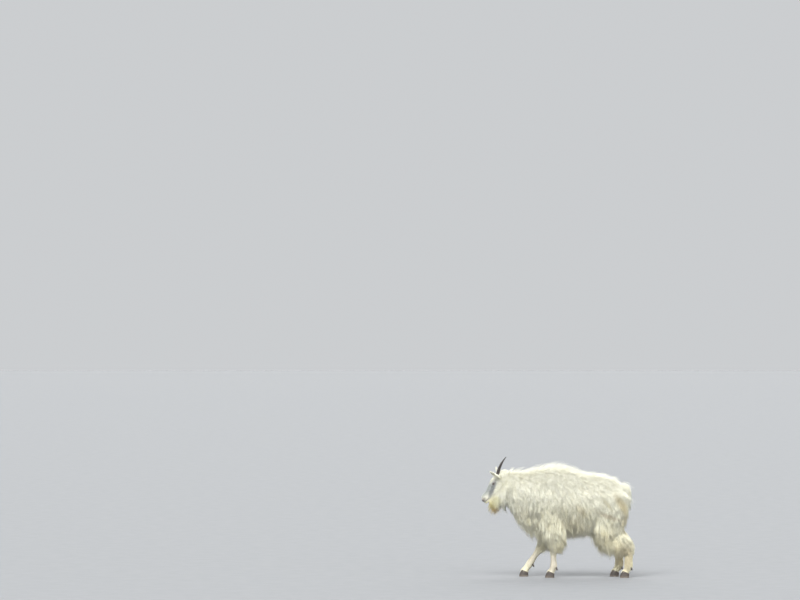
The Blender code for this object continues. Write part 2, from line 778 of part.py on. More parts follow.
def make_torso(body):
    """The trunk, less the room of the legs, the neck and the tail."""
    torso = copy_of(body, "torso")
    rooms = [leg_space(stations, side, GAP) for _, stations, side, _ in LEGS] + [tail_space(GAP)]
    combine(torso, rooms, "DIFFERENCE", COAT_SOLVER)
    keep_side(torso, (NECK_END[0], -NECK_END[1]), GAP / 2, COAT_SOLVER)
    keep_largest(torso)
    return torso


def make_neck(body):
    neck = copy_of(body, "neck")
    keep_side(neck, NECK_END, GAP / 2, COAT_SOLVER)
    keep_side(neck, (HEAD_END[0], -HEAD_END[1]), GAP / 2, COAT_SOLVER)
    keep_largest(neck)
    return neck


def face_turn():
    """Turns a shape's own axes to run along the face, across it and out of the bridge of the nose."""
    return Matrix((FACE_AXIS, SIDEWAYS, FACE_UP)).transposed()


def make_lips():
    """Upper and lower lip, rounder than the muzzle, and the chin."""
    return [ball("lip", face_point(along, up), size, face_turn(), 6, 10) for along, up, size in LIPS]


def make_mouth():
    """A thin wedge that draws the line of the mouth."""
    corners = [face_point(along, up) for along, up in MOUTH_LINE]
    return prism("mouth", [(corner.x, corner.z) for corner in corners], -0.060, 0.060)


def make_nostril(side):
    along, up, across = NOSTRIL
    turn = face_turn() @ Matrix.Rotation(side * NOSTRIL_TURN, 3, "Z")
    return ball("nostril", face_point(along, up, side * across), NOSTRIL_SIZE, turn, 6, 8)


def eye_place(side):
    return Vector((EYE.x, side * EYE.y, EYE.z))


def make_lid(side):
    """A shell round the eyeball, which the eye's opening is cut through."""
    return ball("lid", eye_place(side), [EYE_RADIUS + LID_THICKNESS] * 3, None, 7, 10)


def make_eye_opening(side):
    """An almond that runs out from the eyeball, its corners along the face."""
    outline = []
    for k in range(10):
        a = 2 * math.pi * k / 10
        point = FACE_AXIS * math.cos(a) * EYE_OPENING[0] + FACE_UP * math.sin(a) * EYE_OPENING[1]
        outline.append((EYE.x + point.x, EYE.z + point.z))
    low, high = sorted((side * (EYE.y + 0.004), side * 0.09))
    return prism("opening", outline, low, high)


def make_head():
    head = loft("head", HEAD, 2, 16, narrow_top=0.25)
    hair = beard_locks(surface_of(head)) + crown_locks(surface_of(head))
    lids = [make_lid(side) for side in (-1, 1)]
    combine(head, make_lips() + lids + hair, "UNION")
    cuts = [make_eye_opening(side) for side in (-1, 1)]
    cuts += [make_nostril(side) for side in (-1, 1)]
    combine(head, cuts + [make_mouth()], "DIFFERENCE")
    keep_side(head, HEAD_END, GAP / 2)
    return head


def make_tail():
    tail = loft("tail", TAIL, 2, 8)
    combine(tail, tail_locks(surface_of(tail)), "UNION")
    combine(tail, [tail_space()], "INTERSECT")
    keep_largest(tail)
    return tail


def make_upper_leg(body, name, stations, side, meeting):
    leg = copy_of(body, "leg_upper_" + name)
    room = leg_body("room", stations, side, grow=4 * GAP)
    keep_side(room, leg_split(stations, side, meeting), -GAP / 2)
    combine(leg, [leg_space(stations, side)], "INTERSECT", COAT_SOLVER)
    combine(leg, [room], "DIFFERENCE", COAT_SOLVER)
    keep_largest(leg)
    return leg


def make_lower_leg(name, stations, side, meeting):
    leg = leg_body("leg_lower_" + name, stations, side)
    if not is_fore(stations):
        combine(leg, hock_locks(surface_of(leg), stations, side), "UNION")
    keep_side(leg, leg_split(stations, side, meeting), GAP / 2)
    point, normal = coronet(stations, side)
    keep_side(leg, (point, -normal), GAP / 2)
    keep_largest(leg)
    return leg


def claw_outline(length, width, height, centre, lean):
    """Points round a hoof at one height, pointed before and round behind, moved back with height."""
    points = []
    for k in range(CLAW_SIDES):
        a = 2 * math.pi * k / CLAW_SIDES
        along = -math.cos(a)
        across = math.sin(a) * (1.0 - 0.18 * max(-along, 0))
        points.append(centre + Vector((along * length / 2 + lean, across * width / 2, height)))
    return points


def make_hoof(name, stations, side):
    """Two claws with a cleft between them, flat below, cut off along the coronet above."""
    foot = Vector(leg_rows(stations, side)[-1][:3])
    ground = Vector((foot.x - TOE_AHEAD, foot.y, 0))
    width = 2 * CLAW_WIDTH + CLAW_SPLIT
    points = []
    for long, wide, height, lean in HOOF_RINGS:
        points += claw_outline(CLAW_LENGTH * long, width * wide, height, ground, lean)
    points += [ground, ground + Vector((HOOF_RINGS[-1][3], 0, CLAW_HEIGHT))]
    hoof = solid("hoof_" + name, points, tube_faces(len(HOOF_RINGS), CLAW_SIDES))
    point, normal = coronet(stations, side)
    keep_side(hoof, (point, normal), GAP / 2)
    toe = ground.x - CLAW_LENGTH
    top = CLAW_HEIGHT + 0.015
    cleft = [(toe, -0.01), (toe, top), (foot.x - 0.006, top), (foot.x + 0.012, -0.01)]
    half = CLAW_SPLIT / 2
    combine(hoof, [prism("cleft", cleft, foot.y - half, foot.y + half)], "DIFFERENCE")
    keep_largest(hoof)
    return hoof


def make_ear(name, base, tip, side):
    """A leaf-shaped ear, cupped towards the front, with its root in the head."""
    name = "ear_" + name
    base, tip = Vector(base), Vector(tip)
    along = (tip - base).normalized()
    front = Vector((-0.80, side * 0.60, 0.0))
    front = (front - along * along.dot(front)).normalized()
    across = along.cross(front)
    points = []
    for share, width, arc in EAR_RINGS:
        centre = base + (tip - base) * share
        spread = math.radians(arc)
        radius = EAR_WIDTH / 2 * width / math.sin(spread)
        skin = EAR_THICKNESS * (1.0 - 0.55 * share)
        turns = np.linspace(-spread, spread, EAR_COLUMNS)
        for r, order in ((radius, turns), (radius - skin, turns[::-1] * 0.94)):
            for a in order:
                sideways = across * math.sin(a) * r
                points.append(centre + sideways - front * (math.cos(a) * r - radius * math.cos(spread)))
    return ear_solid(name, points, len(EAR_RINGS), 2 * EAR_COLUMNS)


def ear_solid(name, points, rings, count):
    """Closes the rings of an ear with a strip of quads across each end."""
    faces = []
    for i in range(rings - 1):
        for j in range(count):
            k = (j + 1) % count
            faces.append((i * count + j, i * count + k, (i + 1) * count + k, (i + 1) * count + j))
    half = count // 2
    for start in (0, (rings - 1) * count):
        for j in range(half - 1):
            faces.append((start + j, start + j + 1, start + count - 2 - j, start + count - 1 - j))
    return solid(name, points, faces)


def make_horn(name, side, grow=0.0):
    """A slender cone that rises from the crown and bends back."""
    x, y, z = HORN_ROOT
    path, radii = [Vector((x, side * y, z))], [HORN_RADIUS + HORN_POINT + grow]
    for i in range(1, HORN_STEPS + 1):
        t = i / HORN_STEPS
        bend = HORN_BEND[0] + HORN_BEND[1] * t
        step = Vector((math.sin(bend), side * HORN_SPREAD, math.cos(bend))).normalized()
        path.append(path[-1] + step * HORN_LENGTH / HORN_STEPS)
        radii.append(HORN_RADIUS * (1 - t) ** 0.8 + HORN_POINT + grow)
    if grow:
        path[0] = path[0] + (path[0] - path[1]).normalized() * grow
    return tube("horn_" + name, path, radii, 9)


def make_eye(name, side, grow=0.0):
    return ball("eye_" + name, eye_place(side), [EYE_RADIUS + grow] * 3, rings=6, sides=10)


def finish(obj, colour, roughness):
    """A material of its own and smooth shading with sharp edges kept."""
    material = bpy.data.materials.new(obj.name)
    material.use_nodes = True
    shader = next(n for n in material.node_tree.nodes if n.type == "BSDF_PRINCIPLED")
    shader.inputs["Base Color"].default_value = (*colour, 1)
    shader.inputs["Roughness"].default_value = roughness
    shader.inputs["Metallic"].default_value = 0.0
    material.diffuse_color = (*colour, 1)
    obj.data.materials.clear()
    obj.data.materials.append(material)
    obj.data.shade_smooth()
    obj.data.set_sharp_from_angle(angle=math.radians(50))


def grow_out(obj, distance):
    """Moves every point of a mesh out along its normal."""
    shape = bmesh.new()
    shape.from_mesh(obj.data)
    shape.normal_update()
    for vertex in shape.verts:
        vertex.co += vertex.normal * distance
    shape.to_mesh(obj.data)
    shape.free()


def open_sockets(head):
    """Cuts the places of horns, eyes and ears from the head, each a little larger than what sits in it."""
    sockets = [make_horn("socket", side, GAP) for side in (-1, 1)]
    sockets += [make_eye("socket", side, GAP) for side in (-1, 1)]
    combine(head, sockets, "DIFFERENCE")
    for name, _, _, _ in EARS:
        grown = copy_of(bpy.data.objects["ear_" + name], "socket")
        grow_out(grown, 1.5 * GAP)
        combine(head, [grown], "DIFFERENCE")
    keep_largest(head)


def grow_coat(body):
    """Joins every lock of trunk, neck and upper legs to the body."""
    surface = surface_of(body)
    hair = side_locks(surface) + crest_locks(surface) + hanging_locks(surface) + rump_locks(surface)
    for k, (_, stations, side, _) in enumerate(LEGS):
        hair += leg_locks(surface, stations, side, 20 + k)
    combine(body, hair, "UNION", COAT_SOLVER)


def build():
    clear_scene()
    body = make_body()
    grow_coat(body)
    finish(make_torso(body), WOOL, 0.9)
    finish(make_neck(body), WOOL, 0.9)
    finish(make_tail(), WOOL, 0.9)
    head = make_head()
    for name, base, tip, side in EARS:
        finish(make_ear(name, base, tip, side), WOOL, 0.8)
        finish(make_horn(name, side), BLACK, 0.4)
        finish(make_eye(name, side), BLACK, 0.1)
    open_sockets(head)
    finish(head, WOOL, 0.9)
    for name, stations, side, meeting in LEGS:
        finish(make_upper_leg(body, name, stations, side, meeting), WOOL, 0.9)
        finish(make_lower_leg(name, stations, side, meeting), SHIN, 0.85)
        finish(make_hoof(name, stations, side), BLACK, 0.45)
    bpy.data.objects.remove(body, do_unlink=True)


build()
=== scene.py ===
"""The looks of the mountain goat: one skin, its coat in tufts, horns, hooves and eyes.

Metres, +Z up. The goat faces -X and its left side is -Y, in the frame of the solids that are loaded.
The skin repeats the stations of the solids without their wool. The coat is solid mesh: thin tufts of
three sides, rooted on the skin and drawn together into locks.
"""

import math

import bmesh
import bpy
import numpy as np
from mathutils import Matrix, Vector
from mathutils.bvhtree import BVHTree
from mathutils.kdtree import KDTree


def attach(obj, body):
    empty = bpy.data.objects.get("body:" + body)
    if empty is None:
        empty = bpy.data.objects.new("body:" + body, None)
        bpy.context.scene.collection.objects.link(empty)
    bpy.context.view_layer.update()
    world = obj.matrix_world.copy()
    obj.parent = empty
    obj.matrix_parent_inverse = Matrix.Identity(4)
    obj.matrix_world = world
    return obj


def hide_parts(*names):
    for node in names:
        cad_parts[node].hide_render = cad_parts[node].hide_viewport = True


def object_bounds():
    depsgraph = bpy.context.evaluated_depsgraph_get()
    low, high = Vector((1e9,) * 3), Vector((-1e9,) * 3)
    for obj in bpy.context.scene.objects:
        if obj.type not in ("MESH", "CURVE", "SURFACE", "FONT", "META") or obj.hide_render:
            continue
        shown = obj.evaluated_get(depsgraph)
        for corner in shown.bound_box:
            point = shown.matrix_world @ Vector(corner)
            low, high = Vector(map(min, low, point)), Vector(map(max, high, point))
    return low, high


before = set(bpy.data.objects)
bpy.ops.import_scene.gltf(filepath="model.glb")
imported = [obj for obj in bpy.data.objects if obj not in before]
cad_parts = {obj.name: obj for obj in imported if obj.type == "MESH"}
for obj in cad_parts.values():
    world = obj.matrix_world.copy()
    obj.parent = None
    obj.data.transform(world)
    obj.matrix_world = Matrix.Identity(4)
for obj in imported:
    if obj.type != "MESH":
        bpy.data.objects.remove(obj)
CAD_BOX = [list(corner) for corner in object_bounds()]

BACK = np.array([1.0, 0.0, 0.0])
SIDEWAYS = np.array([0.0, 1.0, 0.0])
DOWN = np.array([0.0, 0.0, -1.0])

# The photograph's frame: 800 by 600 pixels, and where the goat stands in it

FRAME_WIDTH = 800
FRAME_HEIGHT = 600
METRES_PER_PIXEL = 0.0092  # at the goat
ORIGIN_PIXEL = (558.5, 577.0)  # where the goat's origin is seen
LENS = 200.0  # millimetres, a long lens
SENSOR = 36.0

# Sizes of the skin

BODY_VOXEL = 0.0065
FACE_VOXEL = 0.0022
LEG_SPREAD_TOP = 0.100
LEG_SPREAD_FOOT = 0.092
EYE = np.array([-0.600, 0.0425, 0.860])
EYE_RADIUS = 0.0120
EYE_OPENING = (0.0122, 0.0072)  # half length and half height
LID_THICKNESS = 0.0020
LID_RIM = 0.0032  # bare skin round the opening
EAR_WIDTH = 0.050
EAR_THICKNESS = 0.0040
HORN_LENGTH = 0.215
HORN_RADIUS = 0.0185
CLAW_LENGTH = 0.082
CLAW_WIDTH = 0.029
CLAW_SPLIT = 0.004
CLAW_SIDES = 30
MUZZLE = np.array([-0.6935, 0, 0.6975])  # the front end of the head's axis
FACE_AXIS = np.array([0.718, 0, 0.696])  # from the muzzle to the crown
FACE_UP = np.array([-0.696, 0, 0.718])  # from the axis to the bridge of the nose

# Stations of the skin: x, y, z, half width, half depth

TRUNK = [
    (-0.285, 0, 0.700, 0.060, 0.095),
    (-0.235, 0, 0.712, 0.108, 0.172),
    (-0.150, 0, 0.726, 0.138, 0.218),
    (-0.020, 0, 0.738, 0.150, 0.242),
    (0.120, 0, 0.714, 0.160, 0.224),
    (0.250, 0, 0.703, 0.162, 0.206),
    (0.380, 0, 0.706, 0.155, 0.202),
    (0.490, 0, 0.722, 0.143, 0.155),
    (0.560, 0, 0.735, 0.112, 0.112),
    (0.600, 0, 0.745, 0.060, 0.060),
]
NECK = [
    (-0.520, 0, 0.868, 0.062, 0.080),
    (-0.450, 0, 0.838, 0.078, 0.112),
    (-0.360, 0, 0.800, 0.094, 0.146),
    (-0.260, 0, 0.765, 0.114, 0.188),
    (-0.160, 0, 0.755, 0.130, 0.206),
    (-0.080, 0, 0.745, 0.120, 0.190),
]
HEAD = [
    (-0.694, 0, 0.697, 0.018, 0.015),
    (-0.686, 0, 0.704, 0.031, 0.028),
    (-0.668, 0, 0.720, 0.037, 0.037),
    (-0.645, 0, 0.743, 0.037, 0.044),
    (-0.618, 0, 0.771, 0.042, 0.055),
    (-0.590, 0, 0.803, 0.050, 0.070),
    (-0.560, 0, 0.836, 0.057, 0.084),
    (-0.530, 0, 0.866, 0.058, 0.084),
    (-0.500, 0, 0.886, 0.052, 0.074),
    (-0.455, 0, 0.880, 0.040, 0.060),
]
TAIL = [
    (0.560, 0, 0.830, 0.030, 0.030),
    (0.600, 0, 0.834, 0.026, 0.024),
    (0.630, 0, 0.808, 0.022, 0.020),
    (0.640, 0, 0.765, 0.018, 0.016),
    (0.640, 0, 0.725, 0.008, 0.008),
]

# Stations of each leg: x, z, half width, half depth. The last three are fetlock, pastern and coronet.

FORE_STANDING = [
    (-0.070, 0.740, 0.035, 0.085),
    (-0.078, 0.640, 0.052, 0.098),
    (-0.055, 0.540, 0.054, 0.080),
    (-0.046, 0.450, 0.044, 0.056),
    (-0.050, 0.360, 0.034, 0.040),
    (-0.056, 0.290, 0.032, 0.035),
    (-0.053, 0.240, 0.026, 0.028),
    (-0.050, 0.170, 0.022, 0.023),
    (-0.048, 0.108, 0.028, 0.030),
    (-0.062, 0.070, 0.025, 0.026),
    (-0.078, 0.044, 0.030, 0.034),
]
FORE_REACHING = [
    (-0.080, 0.740, 0.035, 0.085),
    (-0.088, 0.640, 0.052, 0.098),
    (-0.072, 0.540, 0.054, 0.080),
    (-0.082, 0.450, 0.044, 0.056),
    (-0.114, 0.365, 0.034, 0.040),
    (-0.146, 0.298, 0.031, 0.034),
    (-0.176, 0.250, 0.026, 0.028),
    (-0.218, 0.188, 0.022, 0.023),
    (-0.257, 0.128, 0.028, 0.030),
    (-0.290, 0.082, 0.025, 0.026),
    (-0.312, 0.046, 0.030, 0.034),
]
# Both hind legs: x of the trailing one, x of the leading one, then the rest of each station
HIND = [
    (0.470, 0.470, 0.780, 0.050, 0.110),
    (0.472, 0.468, 0.680, 0.064, 0.140),
    (0.452, 0.436, 0.570, 0.062, 0.135),
    (0.468, 0.430, 0.470, 0.050, 0.098),
    (0.535, 0.480, 0.385, 0.038, 0.058),
    (0.600, 0.532, 0.325, 0.031, 0.038),
    (0.634, 0.560, 0.280, 0.031, 0.039),
    (0.640, 0.563, 0.235, 0.028, 0.033),
    (0.638, 0.562, 0.170, 0.025, 0.030),
    (0.638, 0.560, 0.108, 0.029, 0.033),
    (0.624, 0.540, 0.070, 0.025, 0.026),
    (0.608, 0.524, 0.044, 0.030, 0.034),
]
HIND_TRAILING = [(row[0], *row[2:]) for row in HIND]
HIND_LEADING = [row[1:] for row in HIND]

# Each leg: name, stations and side
LEGS = [
    ("fore_left", FORE_STANDING, -1),
    ("fore_right", FORE_REACHING, 1),
    ("hind_left", HIND_TRAILING, -1),
    ("hind_right", HIND_LEADING, 1),
]
EARS = [
    ("left", (-0.541, -0.056, 0.899), (-0.630, -0.110, 0.972), -1),
    ("right", (-0.539, 0.056, 0.900), (-0.572, 0.112, 1.004), 1),
]

# The bare end of the muzzle: along the face and above its axis, then half sizes the same ways
NOSE = (0.0000, 0.0060, 0.0110, 0.0130)

# The line of the mouth: its corner along the face, its height above the axis and the bare lip beside it
MOUTH_CORNER = 0.075
MOUTH_HEIGHT = -0.0150
LIP_RIM = 0.0026

# Forms of the face: place along, above and beside its axis, then half sizes along, sideways and up
FACE_FORMS = [
    (0.186, 0.058, 0.033, 0.036, 0.016, 0.020),  # brow
    (0.177, 0.046, 0.037, 0.030, 0.0145, 0.027),  # rim of the eye socket
    (0.150, 0.026, 0.035, 0.046, 0.012, 0.013),  # cheekbone
    (0.166, -0.016, 0.029, 0.060, 0.026, 0.046),  # cheek
    (0.015, 0.009, 0.0210, 0.018, 0.0100, 0.0125),  # wing of the nostril
    (0.040, 0.004, 0.020, 0.036, 0.017, 0.022),  # upper lip
    (0.100, 0.034, 0.0, 0.090, 0.019, 0.016),  # bridge of the nose
    (0.220, 0.062, 0.0, 0.046, 0.040, 0.028),  # crown
    (0.024, -0.001, 0.0, 0.027, 0.0375, 0.016),  # upper lip in front
    (0.030, -0.0270, 0.0, 0.028, 0.0290, 0.013),  # lower lip and chin
]


# Shapes


def unit(vectors):
    """Vectors made one long."""
    return vectors / np.maximum(np.linalg.norm(vectors, axis=-1, keepdims=True), 1e-9)


def ramp(value, start, end):
    """0 before start, 1 past end, and a smooth rise between."""
    share = np.clip((value - start) / (end - start), 0, 1)
    return share * share * (3 - 2 * share)


def spline(stations, per_span):
    """Rows read from a smooth curve through the stations."""
    rows = np.array(stations, float)
    ends = np.vstack([2 * rows[0] - rows[1], rows, 2 * rows[-1] - rows[-2]])
    read = []
    for i in range(len(rows) - 1):
        a, b, c, d = ends[i : i + 4]
        for t in np.linspace(0, 1, per_span, endpoint=False):
            bend = (2 * a - 5 * b + 4 * c - d) * t**2 + (3 * b - a - 3 * c + d) * t**3
            read.append(0.5 * (2 * b + (c - a) * t + bend))
    read.append(rows[-1])
    return np.array(read)


def axes_along(centres):
    """The direction of travel and the upper side at each centre of a line in a plane of constant y."""
    travel = unit(np.gradient(centres, axis=0))
    return travel, unit(np.cross(travel, SIDEWAYS))


def ring_faces(rings, sides):
    """Quads from each ring of points to the next."""
    faces = []
    for i in range(rings - 1):
        for j in range(sides):
            k = (j + 1) % sides
            faces.append((i * sides + j, i * sides + k, (i + 1) * sides + k, (i + 1) * sides + j))
    return faces


def tube_faces(rings, sides):
    """Faces of a closed tube whose last two points are the middles of its ends."""
    faces = ring_faces(rings, sides)
    first, last = rings * sides, rings * sides + 1
    for j in range(sides):
        k = (j + 1) % sides
        faces.append((first, k, j))
        faces.append((last, (rings - 1) * sides + j, (rings - 1) * sides + k))
    return faces


def loft(stations, per_span, sides, narrow_top=0.0):
    """Points and faces of a closed round body through the stations."""
    rows = spline(stations, per_span)
    centres = rows[:, :3]
    _, upper = axes_along(centres)
    angle = np.linspace(0, 2 * math.pi, sides, endpoint=False)
    rise = np.sin(angle)
    across = np.cos(angle) * (1 - narrow_top * np.clip(rise, 0, 1) ** 2)
    out = SIDEWAYS * (across[None, :] * rows[:, 3, None])[..., None]
    up = upper[:, None, :] * (rise[None, :] * rows[:, 4, None])[..., None]
    points = (centres[:, None, :] + out + up).reshape(-1, 3)
    return np.vstack([points, centres[0], centres[-1]]), tube_faces(len(rows), sides)


def tube(path, radii, sides):
    """Points and faces of a closed tube along a bent path in space."""
    path = np.array(path, float)
    travel = unit(np.gradient(path, axis=0))
    guide = SIDEWAYS if abs(travel[0, 1]) < 0.7 else BACK
    points = []
    for centre, ahead, radius in zip(path, travel, radii):
        guide = unit(guide - ahead * guide.dot(ahead))
        across = np.cross(ahead, guide)
        for a in np.linspace(0, 2 * math.pi, sides, endpoint=False):
            points.append(centre + (guide * math.cos(a) + across * math.sin(a)) * radius)
    return np.vstack([points, path[0], path[-1]]), tube_faces(len(path), sides)


def ball(centre, radii, turn=None, rings=16, sides=24):
    """Points and faces of an ellipsoid with the given half sizes along the columns of turn."""
    turn = np.identity(3) if turn is None else np.array(turn)
    tilt = np.linspace(0, math.pi, rings + 1)[1:-1]
    spin = np.linspace(0, 2 * math.pi, sides, endpoint=False)
    ring = np.stack(
        [
            np.sin(tilt)[:, None] * np.cos(spin)[None, :],
            np.sin(tilt)[:, None] * np.sin(spin)[None, :],
            np.repeat(np.cos(tilt)[:, None], sides, axis=1),
        ],
        axis=-1,
    )
    points = np.vstack([ring.reshape(-1, 3), (0, 0, 1), (0, 0, -1)]) * np.array(radii)
    return points @ turn.T + np.array(centre), tube_faces(rings - 1, sides)


def solid(name, shapes):
    """A mesh object of one or more closed shapes, with the faces of each pointing out."""
    points, faces = [], []
    for shape_points, shape_faces in shapes:
        start = len(points)
        points += [tuple(p) for p in shape_points]
        faces += [tuple(start + k for k in face) for face in shape_faces]
    mesh = bpy.data.meshes.new(name)
    mesh.from_pydata(points, [], faces)
    shape = bmesh.new()
    shape.from_mesh(mesh)
    bmesh.ops.recalc_face_normals(shape, faces=shape.faces)
    shape.to_mesh(mesh)
    shape.free()
    obj = bpy.data.objects.new(name, mesh)
    bpy.context.scene.collection.objects.link(obj)
    return obj


def settle(obj):
    """The object's modifiers become its mesh."""
    shown = obj.evaluated_get(bpy.context.evaluated_depsgraph_get())
    mesh = bpy.data.meshes.new_from_object(shown)
    obj.modifiers.clear()
    old = obj.data
    obj.data = mesh
    bpy.data.meshes.remove(old)


def remesh(obj, voxel, rounds):
    """One closed surface round everything in the object, smoothed a little."""
    change = obj.modifiers.new("remesh", "REMESH")
    change.mode = "VOXEL"
    change.voxel_size = voxel
    soften = obj.modifiers.new("soften", "SMOOTH")
    soften.factor = 0.5
    soften.iterations = rounds
    settle(obj)


def combine(obj, other, operation, solver="EXACT"):
    """Joins an object with another, or cuts it by the other, which is used up."""
    change = obj.modifiers.new("combine", "BOOLEAN")
    change.operation = operation
    change.solver = solver
    change.object = other
    settle(obj)
    bpy.data.objects.remove(other, do_unlink=True)


def face_point(along, up, y=0.0):
    """A point of the head by its distance along the face from the muzzle and above its axis."""
    return MUZZLE + FACE_AXIS * along + FACE_UP * up + SIDEWAYS * y


def face_turn(spin=0.0):
    """The head's own directions as columns: along the face, sideways and up, turned about up."""
    base = np.stack([FACE_AXIS, SIDEWAYS, FACE_UP], axis=1)
    return base @ np.array(Matrix.Rotation(spin, 3, "Z"))


def leg_rows(stations, side):
    """A leg's stations with its place across the body added."""
    rows = []
    for x, z, width, depth in stations:
        share = min(max(z / stations[0][1], 0), 1)
        spread = LEG_SPREAD_FOOT + (LEG_SPREAD_TOP - LEG_SPREAD_FOOT) * share
        rows.append((x, side * spread, z, width, depth))
    return rows


# Skin


def leg_shape(stations, side):
    """The whole leg, which ends a little way down inside the hoof."""
    rows = leg_rows(stations, side)
    x, y, z, width, depth = rows[-1]
    rows += [
        (x - 0.005, y, z - 0.012, width * 0.80, depth * 0.80),
        (x - 0.009, y, z - 0.022, width * 0.50, depth * 0.50),
    ]
    return loft(rows, 6, 32)


def make_body():
    shapes = [loft(TRUNK, 8, 64, narrow_top=0.35), loft(NECK, 8, 56, narrow_top=0.25), loft(TAIL, 6, 24)]
    shapes += [leg_shape(stations, side) for _, stations, side in LEGS]
    body = solid("skin", shapes)
    remesh(body, BODY_VOXEL, 8)
    return body


def face_shapes():
    """The brow, cheeks, lips and the other forms that stand out from the head."""
    shapes = []
    for along, up, y, length, width, height in FACE_FORMS:
        for side in (-1, 1) if y else (1,):
            shapes.append(ball(face_point(along, up, side * y), (length, width, height), face_turn()))
    return shapes


def eye_place(side):
    return EYE * np.array([1, side, 1])


def prism(outline, low, high):
    """An outline in x and z between two values of y."""
    count = len(outline)
    points = [(x, low, z) for x, z in outline] + [(x, high, z) for x, z in outline]
    faces = [tuple(range(count)), tuple(range(2 * count - 1, count - 1, -1))]
    faces += [(i, (i + 1) % count, (i + 1) % count + count, i + count) for i in range(count)]
    return points, faces


def eye_opening(side):
    """An almond that runs out from the eyeball, its corners along the face."""
    outline = []
    for a in np.linspace(0, 2 * math.pi, 40, endpoint=False):
        height = math.sin(a) * abs(math.sin(a)) ** 0.55
        point = EYE + FACE_AXIS * math.cos(a) * EYE_OPENING[0] + FACE_UP * height * EYE_OPENING[1]
        outline.append((point[0], point[2]))
    low, high = sorted((side * (EYE[1] + 0.002), side * 0.09))
    return prism(outline, low, high)


def mouth_slit():
    """A thin wedge that draws the line of the mouth, with its corner turned up."""
    along = np.linspace(-0.030, 0.068, 12)
    middle = -0.0155 + 0.0055 * ramp(along, 0.020, 0.068)
    half = 0.0013 - 0.0009 * ramp(along, 0.0, 0.066)
    upper = [face_point(a, m + h) for a, m, h in zip(along, middle, half)]
    lower = [face_point(a, m - h) for a, m, h in zip(along, middle, half)]
    return prism([(p[0], p[2]) for p in upper + lower[::-1]], -0.060, 0.060)


def nostril(side):
    place = face_point(0.004, 0.0105, side * 0.0200)
    return ball(place, (0.0115, 0.0030, 0.0055), face_turn(side * 0.75))


def ear_front(side):
    """The way that the hollow of an ear faces."""
    return np.array([-0.80, side * 0.60, 0.0])


def make_ear(base, tip, side, rings=18, arc_points=11):
    """A leaf-shaped ear, cupped towards the front, with its root in the head."""
    base, tip = np.array(base), np.array(tip)
    along = unit(tip - base)
    front = ear_front(side)
    front = unit(front - along * along.dot(front))
    across = np.cross(along, front)
    shares = [0.0, 0.12, 0.30, 0.50, 0.70, 0.87, 1.0]
    widths = [0.50, 0.66, 0.92, 1.0, 0.86, 0.52, 0.10]
    arcs = [82, 82, 76, 68, 60, 52, 46]
    points = []
    for share in np.linspace(0, 1, rings):
        centre = base + (tip - base) * share
        spread = math.radians(np.interp(share, shares, arcs))
        radius = EAR_WIDTH / 2 * np.interp(share, shares, widths) / math.sin(spread)
        skin = EAR_THICKNESS * (1.0 - 0.55 * share)
        turns = np.linspace(-spread, spread, arc_points)
        for r, order in ((radius, turns), (radius - skin, turns[::-1] * 0.95)):
            for a in order:
                rise = math.cos(a) * r - radius * math.cos(spread)
                points.append(centre + across * math.sin(a) * r - front * rise)
    return points, ear_faces(rings, arc_points)


def ear_faces(rings, arc_points):
    """The rings of an ear joined, with a strip of quads across each end."""
    count = 2 * arc_points
    faces = ring_faces(rings, count)
    for start in (0, (rings - 1) * count):
        for j in range(arc_points - 1):
            faces.append((start + j, start + j + 1, start + count - 2 - j, start + count - 1 - j))
    return faces


def make_head():
    """The head with lids, nostrils, mouth and ears, and a stump that runs into the neck."""
    head = solid("head", [loft(HEAD, 8, 48, narrow_top=0.25)] + face_shapes())
    remesh(head, FACE_VOXEL, 5)
    for _, base, tip, side in EARS:
        combine(head, solid("ear", [make_ear(base, tip, side)]), "UNION", "MANIFOLD")
    for side in (-1, 1):
        lid = ball(eye_place(side), [EYE_RADIUS + LID_THICKNESS] * 3, face_turn(), 36, 48)
        combine(head, solid("lid", [lid]), "UNION", "MANIFOLD")
        combine(head, solid("opening", [eye_opening(side)]), "DIFFERENCE", "MANIFOLD")
        socket = ball(eye_place(side), [EYE_RADIUS + 0.0003] * 3, face_turn(), 36, 48)
        combine(head, solid("socket", [socket]), "DIFFERENCE", "MANIFOLD")
        combine(head, solid("nostril", [nostril(side)]), "DIFFERENCE", "MANIFOLD")
    combine(head, solid("slit", [mouth_slit()]), "DIFFERENCE", "MANIFOLD")
    return head


def make_skin():
    """One closed skin of the whole animal."""
    skin = make_body()
    combine(skin, make_head(), "UNION", "MANIFOLD")
    skin.data.shade_smooth()
    skin.data.set_sharp_from_angle(angle=math.radians(62))
    return skin


# Coat: how it grows

# Over trunk and neck, by the angle above the side of the body
ANGLES = [-90, -60, -36, -6, 23, 51, 77, 90]
BODY_LENGTH = [0.150, 0.200, 0.210, 0.210, 0.200, 0.185, 0.160, 0.140]
BODY_LIFT = [2.20, 1.10, 0.45, 0.32, 0.30, 0.32, 0.30, 0.30]
BODY_RUN_BACK = [0.08, 0.08, 0.10, 0.14, 0.22, 0.44, 1.20, 2.60]
BODY_THICKNESS = [0.020, 0.032, 0.040, 0.043, 0.043, 0.044, 0.046, 0.046]

# Along the ridge of neck and back: how steeply the hair rises, how thick it stands and how long it is
CREST_X = [-0.50, -0.40, -0.29, -0.23, -0.10, 0.03, 0.14, 0.30, 0.45, 0.60]
CREST_RISE = [0.54, 0.50, 0.46, 0.80, 0.76, 0.55, 0.32, 0.28, 0.27, 0.16]
CREST_THICKNESS = [0.072, 0.080, 0.078, 0.088, 0.092, 0.084, 0.072, 0.067, 0.070, 0.056]
CREST_LENGTH = [0.110, 0.120, 0.130, 0.165, 0.165, 0.150, 0.130, 0.125, 0.125, 0.120]

